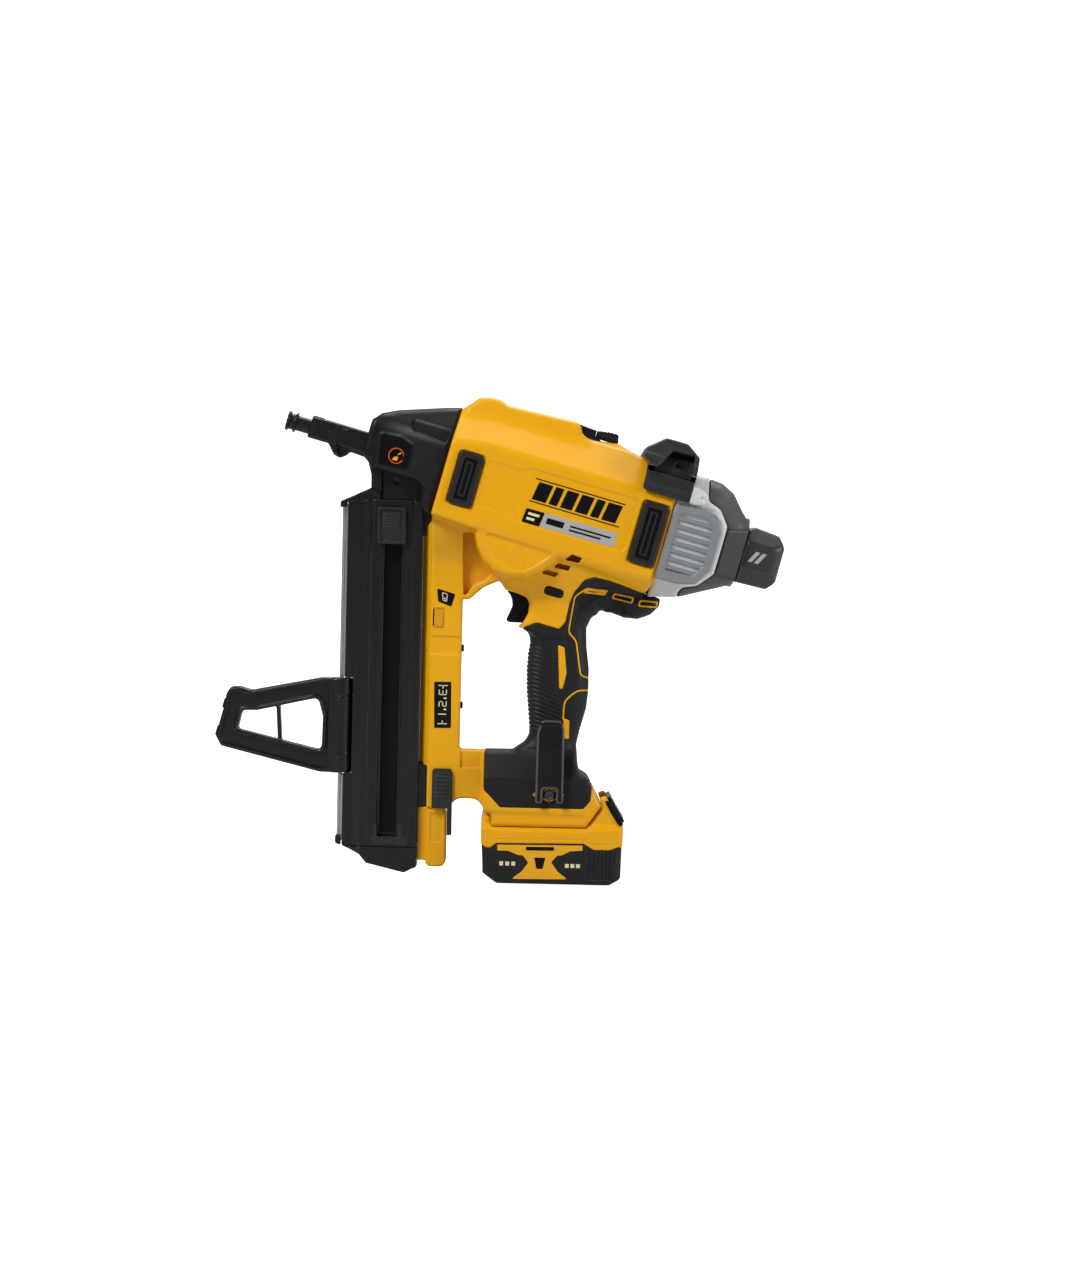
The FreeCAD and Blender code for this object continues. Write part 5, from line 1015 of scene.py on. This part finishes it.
# ---------------------------------------------------------------- support foot and belt hook
def make_foot():
    """The open swing-out frame on the magazine's rod."""
    grid = Grid((-285.5, -10.5, 86.5), (-169, 10.5, 171), 0.62)
    w, x, z = grid.w, grid.x, grid.z
    outer = outline(grid, [
        (-284, 116.8, 3), (-279.4, 108.4, 3), (-196.2, 88.2, 10), (-178, 87.8, 4), (-176, 96),
        (-176, 158), (-178, 166.8, 4), (-196, 167.3, 14), (-255, 155.4, 5), (-264, 158.2, 5),
        (-272, 158.2, 4), (-275.4, 152.6, 4), (-277.4, 142, 3)], 2)
    hole = outline(grid, [
        (-266, 122.6, 3), (-262.2, 138.6, 4), (-249.5, 138.8, 6), (-198.6, 150.4, 5),
        (-194.4, 135, 8), (-195, 106, 5)], 3)
    flat = np.maximum(outer, -hole)
    rib = np.abs((x + 231.4) * 0.995 + (z - 130) * 0.06) - 1.7
    flat = np.minimum(flat, np.maximum(rib, hole - 1))
    foot = prism(flat, w - 9.3, 2.2)
    core = both(outer + 3.6, 3.2 - hole, x + 190)
    foot = cut(foot, 1.2, core, 6.2 - w)
    foot = cut(foot, 0.4, rib + 0.2, hole + 1.5, 4 - w)
    for low in ((-283, 118), (-277.5, 141)):
        pad = np.maximum(np.abs((x - low[0] - 1) * 0.966 - (z - low[1] - 3) * 0.259) - 1.8,
                         np.abs((z - low[1] - 3) * 0.966 + (x - low[0] - 1) * 0.259) - 4)
        foot = join(foot, prism(pad, w - 7, 0.8), 0.6)
    r = np.sqrt(grid.y ** 2 + (x - ROD_X) ** 2)
    barrel_part = prism(r - 10.1, bar(z, 88, 167.4), 1.2)
    for level in (101, 152.5):
        barrel_part = cut(barrel_part, 0.3, np.abs(z - level) - 0.6, 9.4 - r)
    barrel_part = cut(barrel_part, 0.6, bar(z, 104.5, 149), 9.9 - r)
    foot = join(foot, barrel_part, 1)
    web = prism(np.maximum(np.abs(x + 186) - 6, bar(z, 96, 160)), w - 3.2, 0.8)
    foot = join(foot, web, 1.5)
    foot = meet(foot, 1.82 - r, 0.3)
    mould("support_foot", grid, foot, "magazine_black", body="support_foot")


def make_hook():
    """The belt hook's strap with rolled edges painted lighter as highlight, its two legs and screw.
    """
    grid = Grid((-15.5, -46.5, 65), (8.8, -35.5, 138.5), 0.42)
    w, x, z = grid.w, grid.x, grid.z
    shape = outline(grid, [(-14, 70, 1), (-13.6, 126, 6), (-10.5, 136.8, 4), (4.5, 136.8, 4),
                           (7, 131, 5), (7.2, 70, 1), (3.4, 70, 1), (3.2, 82, 3), (-9.8, 82, 3),
                           (-10.2, 70, 1)], 1)
    bow = 43.2 - 2.2 * ramp(z, 112, 134) - 1.0 * ramp(-z, -84, -72)
    strap = prism(shape, np.abs(w - bow) - 0.8, 0.6)
    # Painted highlight: the rolled edges are a separate lighter piece for the light they catch.
    rim = np.sqrt(shape ** 2 + (w - bow) ** 2) - 1.05
    rim = np.maximum(rim, 69 - z)
    mould("belt_hook_painted_highlight", grid, rim, "black_plastic:rim")
    top = prism(np.maximum(np.abs(x + 3.3) - 9.5, np.abs(z - 134.6) - 1.4), bar(w, 38.5, 42), 0.8)
    strap = join(strap, top, 1)
    legs = prism(np.maximum(np.abs(np.abs(x + 3.4) - 8.7) - 1.9, bar(z, 70, 79)), bar(w, 36.4, 43),
                 0.8)
    strap = join(strap, legs, 1)
    mould("belt_hook", grid, strap, "black_plastic")

    grid = Grid((-10, -41.5, 69), (3, -36, 83), 0.35)
    across, up = grid.x - HOOK_SCREW[0], grid.z - HOOK_SCREW[1]
    r = np.sqrt(across ** 2 + up ** 2)
    head = prism(r - 4.4, bar(grid.w, 36.4, 39.6), 0.9)
    hexagon = both(np.abs(across), np.abs(across * 0.5 + up * 0.866),
                   np.abs(across * 0.5 - up * 0.866)) - 1.9
    head = cut(head, 0.3, hexagon, 38 - grid.w)
    mould("belt_hook_screw", grid, head, "steel:screw")


# ---------------------------------------------------------------- battery
BATTERY = [(-59.4, 57.4, 2), (-59.6, 35), (-58.8, 24), (-58.2, 9, 3), (-46, 0.2, 6), (48, 0.2, 6),
           (58, 6, 5), (58.6, 33), (58.8, 50, 2), (43.6, 75.4, 2), (38, 73.4, 2), (41, 65.6),
           (27.8, 47.9), (-50.6, 47.9), (-51, 57.2, 1.5)]
SPLIT = [(-70, 33.6), (-59, 33.6), (-54.6, 30.6), (-51.4, 30.6), (-46.6, 34.4, 2), (26, 35.4, 2),
         (34.6, 30.4, 3), (48, 30.4, 3), (54, 33, 2), (70, 33), (70, 90), (-70, 90)]
LABEL = [(-45.6, 33.4), (25.4, 34.2), (25.4, 29.8, 1), (15, 29, 3), (8, 25.4, 2), (4.4, 25.2, 1),
         (-0.4, 19.6, 1), (5.2, 12, 2), (13.6, 5.6), (-33.6, 5), (-25, 11.4, 2), (-19.6, 19, 1),
         (-24, 24.8, 1), (-28, 25, 2), (-36.5, 28.4, 3), (-45.6, 28.4, 1)]


def make_battery():
    """The slide-on pack: yellow upper case, dark lower case, its panel, label and release."""
    grid = Grid((-61, -39, -0.5), (60.5, 0.5, 77), 0.7)
    w, x, z = grid.w, grid.x, grid.z
    width = 37.8 - 5 * ramp(z, 46, 52) - 0.02 * np.maximum(20 - z, 0)
    whole = prism(outline(grid, BATTERY, 2), w - width, 4.5)
    split = outline(grid, SPLIT, 2)
    panel = outline(grid, [(-52.4, 37), (-52.2, 8, 6), (-41, 1.6, 6), (46, 1.8, 6), (54, 9, 6),
                           (54, 37)], 3)
    lower = join(whole + 0.7, prism(panel, w - width, 1.2), 0.8)
    ribbed = ramp(-outline(grid, [(28, 5), (49, 5), (49, 30), (28, 33.5)], 1), 0, 0.8)
    lower = lower + 1.3 * ribbed * (0.5 + 0.5 * np.cos((x - 28) * 2 * np.pi / 3.4)) * (w > 34)
    upper = meet(whole, split + 0.15, 0.7)
    lower = meet(lower, -split + 0.15, 0.7)
    cut_line = np.maximum(np.abs(track(grid, softened_line([
        (-46, 38), (24, 39), (34, 35), (52, 35)], 3))) - 0.3, 37.3 - w)
    upper = cut(upper, 0.3, cut_line)
    hollow = meet(outline(grid, BATTERY, 2) + 3, w - 34.6, 1)
    rail = both(bar(z, 47, 56.9), w - 25.4, bar(x, -59, 30))
    upper = cut(upper, 0.4, hollow, z - 44.6)
    upper = join(upper, np.maximum(rail, np.where(z < 52.4, np.maximum(w - 20.9, 50 - z), -50)),
                 0.4)
    pocket = outline(grid, [(67, 48), (67, 82), (45, 82), (36.5, 73.5), (51, 48)], 0.5)
    upper = cut(upper, 0.6, pocket, w - 27.4)
    lower = cut(lower, 0.4, hollow)
    for side, mirror in SIDES:
        mould("battery_upper_case_" + side, grid, meet(upper, grid.y + 0.1, 0.5), "yellow",
              body="battery", stands_for=["battery_upper_case"], mirror=mirror)
        mould("battery_lower_case_" + side, grid, meet(lower, grid.y + 0.1, 0.5), "battery_black",
              body="battery", stands_for=["battery_lower_case"], mirror=mirror)
        fine = Grid((-47, -39.4, 3), (28, -36.2, 36), 0.4)
        level = fine.w - (37.8 - 0.02 * np.maximum(20 - fine.z, 0))
        plate = prism(np.maximum(outline(fine, LABEL, 1), -level - 1.2), level - 0.25, 0.3)
        mould("battery_label_" + side, fine, plate, "yellow:label", body="battery", mirror=mirror)

    grid = Grid((40, -34.6, 48), (61.5, 34.6, 76.5), 0.5)
    w, x, z = grid.w, grid.x, grid.z
    key = prism(outline(grid, [(57.6, 51.4, 1), (60, 54, 1), (47.4, 75.2, 1), (44, 72.6, 1)], 1),
                w - 26.8, 1)
    along = (x - 52) * -0.53 + (z - 63) * 0.85
    outward = x * 0.85 + z * 0.53 > 79.2
    ribs = 0.25 + 0.25 * np.cos(along * 2 * np.pi / 3)
    key = key + ribs * ramp(9 - np.abs(along), 0, 1) * outward
    side_key = prism(outline(grid, [
        (42.6, 71.6, 1), (47.4, 71.2, 1), (59.2, 51.6, 1), (55.4, 50.4, 1), (48.6, 60.5, 3)], 1),
            np.abs(w - 32.6) - 1.2, 0.5)
    mould("battery_release", grid, key, "black_plastic:gloss", body="battery_release")
    mould("battery_side_trim", grid, side_key, "black_plastic:gloss", body="battery")


# ---------------------------------------------------------------- printed marks
def print_mark(name, points, level, slot, body="tool", drive=False, side=-1, rise=0.18, radius=0.3,
               depth=0.5):
    """A thin printed or stuck-on shape on a flat side face."""
    flat = softened(points, radius) if radius else [tuple(p) for p in points]
    model = [to_model(*p) if drive else p for p in flat]
    count = len(model)
    made = bmesh.new()
    top = [made.verts.new((px * MM, side * (level + rise) * MM, pz * MM)) for px, pz in model]
    low = [made.verts.new((px * MM, side * (level - depth) * MM, pz * MM)) for px, pz in model]
    made.faces.new(top)
    made.faces.new(low[::-1])
    for i in range(count):
        k = (i + 1) % count
        made.faces.new((top[i], low[i], low[k], top[k]))
    bmesh.ops.recalc_face_normals(made, faces=made.faces)
    mesh = bpy.data.meshes.new(name)
    made.to_mesh(mesh)
    thing = bpy.data.objects.new(name, mesh)
    bpy.context.scene.collection.objects.link(thing)
    return finish_piece(thing, body, slot)


def joined_mark(name, shapes, level, slot, **more):
    """Several printed shapes as one piece."""
    parts = [print_mark(f"{name}_{i}", shape, level, slot, **more)
             for i, shape in enumerate(shapes)]
    with bpy.context.temp_override(active_object=parts[0], selected_editable_objects=parts):
        bpy.ops.object.join()
    parts[0].name = name
    return parts[0]


def strokes(path, half):
    """Thin bars along a line's runs."""
    found = []
    for (x0, z0), (x1, z1) in zip(path, path[1:]):
        length = math.hypot(x1 - x0, z1 - z0)
        ux, uz = (x1 - x0) / length * half, (z1 - z0) / length * half
        found.append([(x0 - ux - uz, z0 - uz + ux), (x1 + ux - uz, z1 + uz + ux),
                      (x1 + ux + uz, z1 + uz - ux), (x0 - ux + uz, z0 - uz - ux)])
    return found


def make_marks():
    """Plain marks in place of the printed labels."""
    slats = [[(214, 11.4), (291, 11.2), (291, 10.3), (214, 10.5)],
             [(214, -7.7), (291, -8), (291, -8.9), (214, -8.6)]]
    for index, wide in enumerate((12, 7, 10, 10.5, 7, 12)):
        start = 215.2 + (0, 14.6, 24.4, 37, 50.2, 59.8)[index]
        slats.append([
            (start, -6.4), (start + wide, -6.4), (start + wide + 2.4, 8.9), (start + 2.4, 8.9)])
    for side, tag in ((-1, "left"), (1, "right")):
        joined_mark("side_slats_" + tag, slats, 42.8, "black_plastic:ink", drive=True, side=side)
        print_mark("small_label_" + tag,
                   [(213.4, -14.6), (229, -14.4), (227.4, -26.6), (212.4, -26.6)],
                   42.8, "black_plastic:ink", drive=True, side=side, radius=1)
        joined_mark("small_label_bars_" + tag,
                    [[(216, -17.2), (225.6, -17.2), (225.2, -19.4), (215.8, -19.4)],
                     [(215.6, -21.4), (222.6, -21.4), (222.2, -23.6), (215.4, -23.6)]],
                    42.98, "light_grey_metal:print", drive=True, side=side)
        print_mark("grey_label_" + tag,
                   [(229.6, -14.4), (291.4, -13.8), (291, -25.8), (228, -26.4)],
                   42.8, "light_grey_metal:label", drive=True, side=side, radius=1)
        joined_mark("grey_label_bars_" + tag,
                    [[(232.4, -17.6), (247, -17.6), (246.6, -22.6), (232, -22.6)],
                     [(252, -18.4), (287, -18.2), (286.8, -19.6), (252, -19.8)],
                     [(252, -21.6), (279, -21.4), (278.8, -22.8), (252, -23)]],
                    42.98, "black_plastic:ink", drive=True, side=side)
        ring = [[(97.6 + 6.7 * math.cos(t), -3.4 + 6.7 * math.sin(t)),
                 (97.6 + 6.7 * math.cos(t + 0.27), -3.4 + 6.7 * math.sin(t + 0.27)),
                 (97.6 + 5.8 * math.cos(t + 0.27), -3.4 + 5.8 * math.sin(t + 0.27)),
                 (97.6 + 5.8 * math.cos(t), -3.4 + 5.8 * math.sin(t))]
                for t in [i * math.pi / 12 for i in range(24)]]
        nose_level = float(nose_half(np.float32(97.6))) + 1.3
        joined_mark("nose_sign_" + tag, ring, nose_level, "yellow:signal", drive=True, side=side,
                    rise=1.6, depth=1.6, radius=0)
        joined_mark("nose_sign_core_" + tag,
                    [[(94.6, -7.4), (99.4, -7.4), (99.4, -3.6), (96.6, -4.4)],
                     [(97.4, -3.2), (100.6, 0.6), (101.4, -0.6)]],
                    nose_level, "yellow:label", drive=True, side=side, rise=1.3, depth=1.5,
                    radius=0.8)
        joined_mark("cap_bars_" + tag,
                    [[(402, -5.4), (405.4, -5.4), (410.4, 4.2), (407, 4.2)],
                     [(407.6, -5.4), (411, -5.4), (416, 4.2), (412.6, 4.2)]],
                    23.4, "light_grey_metal:label", drive=True, side=side)
        print_mark("tower_label_" + tag,
                   [(-100.6, 244.4), (-85.4, 240), (-88.6, 229.4), (-99.6, 233.6)],
                   15, "black_plastic:ink", side=side, radius=1)
        icon = [(-96.2, 241), (-92, 239.8), (-92.6, 233.6), (-95.6, 234.8), (-96.2, 241)]
        joined_mark("tower_label_icon_" + tag,
                    strokes(icon, 0.35)
                    + [[(-94.8, 237), (-93.4, 236.6), (-93.5, 235.2), (-94.7, 235.6)]],
                    15.15, "light_grey_metal:print", side=side, radius=0)
        print_mark("lens_line_" + tag, rectangle(-103.4, 226.6, -102.7, 213.6), 15,
                   "black_plastic:ink", side=side, radius=0)
        print_mark("level_label_" + tag,
                   [(-101.4, 166.4), (-87.2, 166.6), (-86.6, 128), (-100.6, 127.8)],
                   15, "black_plastic:ink", side=side, radius=1)
        digits = []
        three = [rectangle(-1.9, 3, 1.9, -3), [(-1.2, 0), (1.9, 0)]]
        two = [[(-1.9, 3), (1.9, 3), (1.9, 0), (-1.9, 0), (-1.9, -3), (1.9, -3)]]
        one = [[(0, 3), (0, -3)]]
        figures = ((157.6, three), (148, two), (139.4, one))
        for middle, runs in figures:
            for run in runs:
                digits += strokes([(-94 - side * v, middle - u) for u, v in run], 0.42)
        for level in (152.8, 143.4):
            digits += strokes([(-94 - side * 1.4, level), (-94 - side * 2.6, level)], 0.6)
        for level, sign in ((163.4, 1), (131.4, -1)):
            digits += strokes([(-97.6, level), (-90.4, level)], 0.4)
            digits += strokes([(-94, level), (-94, level - 2.2 * sign)], 0.4)
        joined_mark("level_marks_" + tag, digits, 15.15, "light_grey_metal:print", side=side,
                    radius=0)
        boss = [
            (-17, 75.6), (-12.8, 78.2), (-8.4, 78.6), (-3.4, 81), (1.2, 78.8), (5.4, 78.6),
            (9, 75.6), (5.4, 72.4), (1.2, 72.2), (-3.4, 70), (-8.4, 72.4), (-12.8, 72.8),
            (-17, 75.6)]
        joined_mark("hook_boss_" + tag, strokes(boss, 0.45), 36.7, "yellow", side=side, radius=0,
                    rise=0.3)
        joined_mark("battery_bars_" + tag,
                    [[(-21.6, 32.2), (1.6, 32.4), (1.6, 29.4), (-21.6, 29.2)],
                     [(-14.6, 23.4), (-5.4, 23.4), (-7.4, 14.2), (-12.6, 14.2)]],
                    38, "black_plastic:ink", body="battery", side=side)
        pips = [rectangle(-43.5 + 5 * i, 19.6, -40.3 + 5 * i, 16.2) for i in range(3)]
        pips += [rectangle(11 + 4.6 * i, 18.6, 14.2 + 4.6 * i, 15.4) for i in range(3)]
        joined_mark("battery_pips_" + tag, pips, 37.7, "light_grey_metal:print",
                    body="battery", side=side)


make_housing()
make_skin()
make_nose()
make_rear()
make_pads()
make_lever()
make_controls()
make_magazine()
make_foot()
make_hook()
make_battery()
make_marks()

# ---------------------------------------------------------------- stage
def area_light(name, spot, aim, size, power):
    """A soft square light pointing at a place."""
    data = bpy.data.lights.new(name, "AREA")
    data.size, data.energy = size, power
    lamp = bpy.data.objects.new(name, data)
    bpy.context.scene.collection.objects.link(lamp)
    lamp.location = spot
    lamp.rotation_euler = (Vector(aim) - Vector(spot)).to_track_quat("-Z", "Y").to_euler()


def white_to_camera(tree, socket, seen, felt):
    """Bright where the camera looks, dimmer as a source of light."""
    path = tree.nodes.new("ShaderNodeLightPath")
    span = tree.nodes.new("ShaderNodeMapRange")
    span.inputs["To Min"].default_value = felt
    span.inputs["To Max"].default_value = seen
    tree.links.new(path.outputs["Is Camera Ray"], span.inputs["Value"])
    tree.links.new(span.outputs["Result"], socket)


CAMERA_ROLL = 1.3


def set_stage():
    """Pale floor, soft studio light and the camera."""
    floor_mesh = bmesh.new()
    rows = []
    for i in range(-1, 25):
        if i < 9:
            y, z = -3 + i * 0.5, 0.0
        else:
            turn = min((i - 9) / 12, 1) * math.pi / 2
            y, z = 1.5 + 1.6 * math.sin(turn), 1.6 - 1.6 * math.cos(turn)
            if i > 21:
                z += (i - 21) * 1.2
        rows.append([floor_mesh.verts.new((x, y, z)) for x in (-6, 6)])
    for low, high in zip(rows, rows[1:]):
        face = floor_mesh.faces.new((low[0], low[1], high[1], high[0]))
        face.smooth = True
    mesh = bpy.data.meshes.new("studio_floor")
    floor_mesh.to_mesh(mesh)
    floor = bpy.data.objects.new("studio_floor", mesh)
    bpy.context.scene.collection.objects.link(floor)
    floor.location.z = -0.0005
    floor.data.materials.append(MATERIALS["stage"])
    world = bpy.data.worlds.new("studio")
    bpy.context.scene.world = world
    world.use_nodes = True
    world.node_tree.nodes["Background"].inputs["Color"].default_value = (1, 1, 1, 1)
    white_to_camera(world.node_tree, world.node_tree.nodes["Background"].inputs["Strength"], 1, 0.1)
    glowing = MATERIALS["stage"].node_tree
    lamp_face = [node for node in glowing.nodes if node.type == "BSDF_PRINCIPLED"][0]
    white_to_camera(glowing, lamp_face.inputs["Emission Strength"], 1, 0.12)
    area_light("key", (-1.5, -1.6, 2.2), (-0.05, 0, 0.22), 0.9, 66)
    area_light("fill", (2.3, -0.9, 0.9), (0, 0, 0.2), 1.2, 30)
    area_light("rim", (0.3, 1.0, 2.4), (0, 0, 0.25), 1.2, 34)
    camera = bpy.data.objects.new("camera", bpy.data.cameras.new("camera"))
    bpy.context.scene.collection.objects.link(camera)
    bpy.context.scene.camera = camera
    aim = Vector((-0.0197, 0, 0.2026))
    distance, lift = 2.6, math.radians(2.0)
    camera.location = aim + Vector((0, -distance * math.cos(lift), distance * math.sin(lift)))
    camera.data.lens = 36 * distance / (1.280 * 0.84)
    camera.data.clip_end = 50
    turn = (aim - camera.location).to_track_quat("-Z", "Y")
    camera.rotation_mode = "QUATERNION"
    camera.rotation_quaternion = turn @ Quaternion((0, 0, 1), math.radians(CAMERA_ROLL))
    bpy.context.scene.view_settings.view_transform = "Standard"


material("stage", (0.55, 0.55, 0.55), 0.7, grain=3, bump=0.02, drift=0.01, glow=0.6)
set_stage()
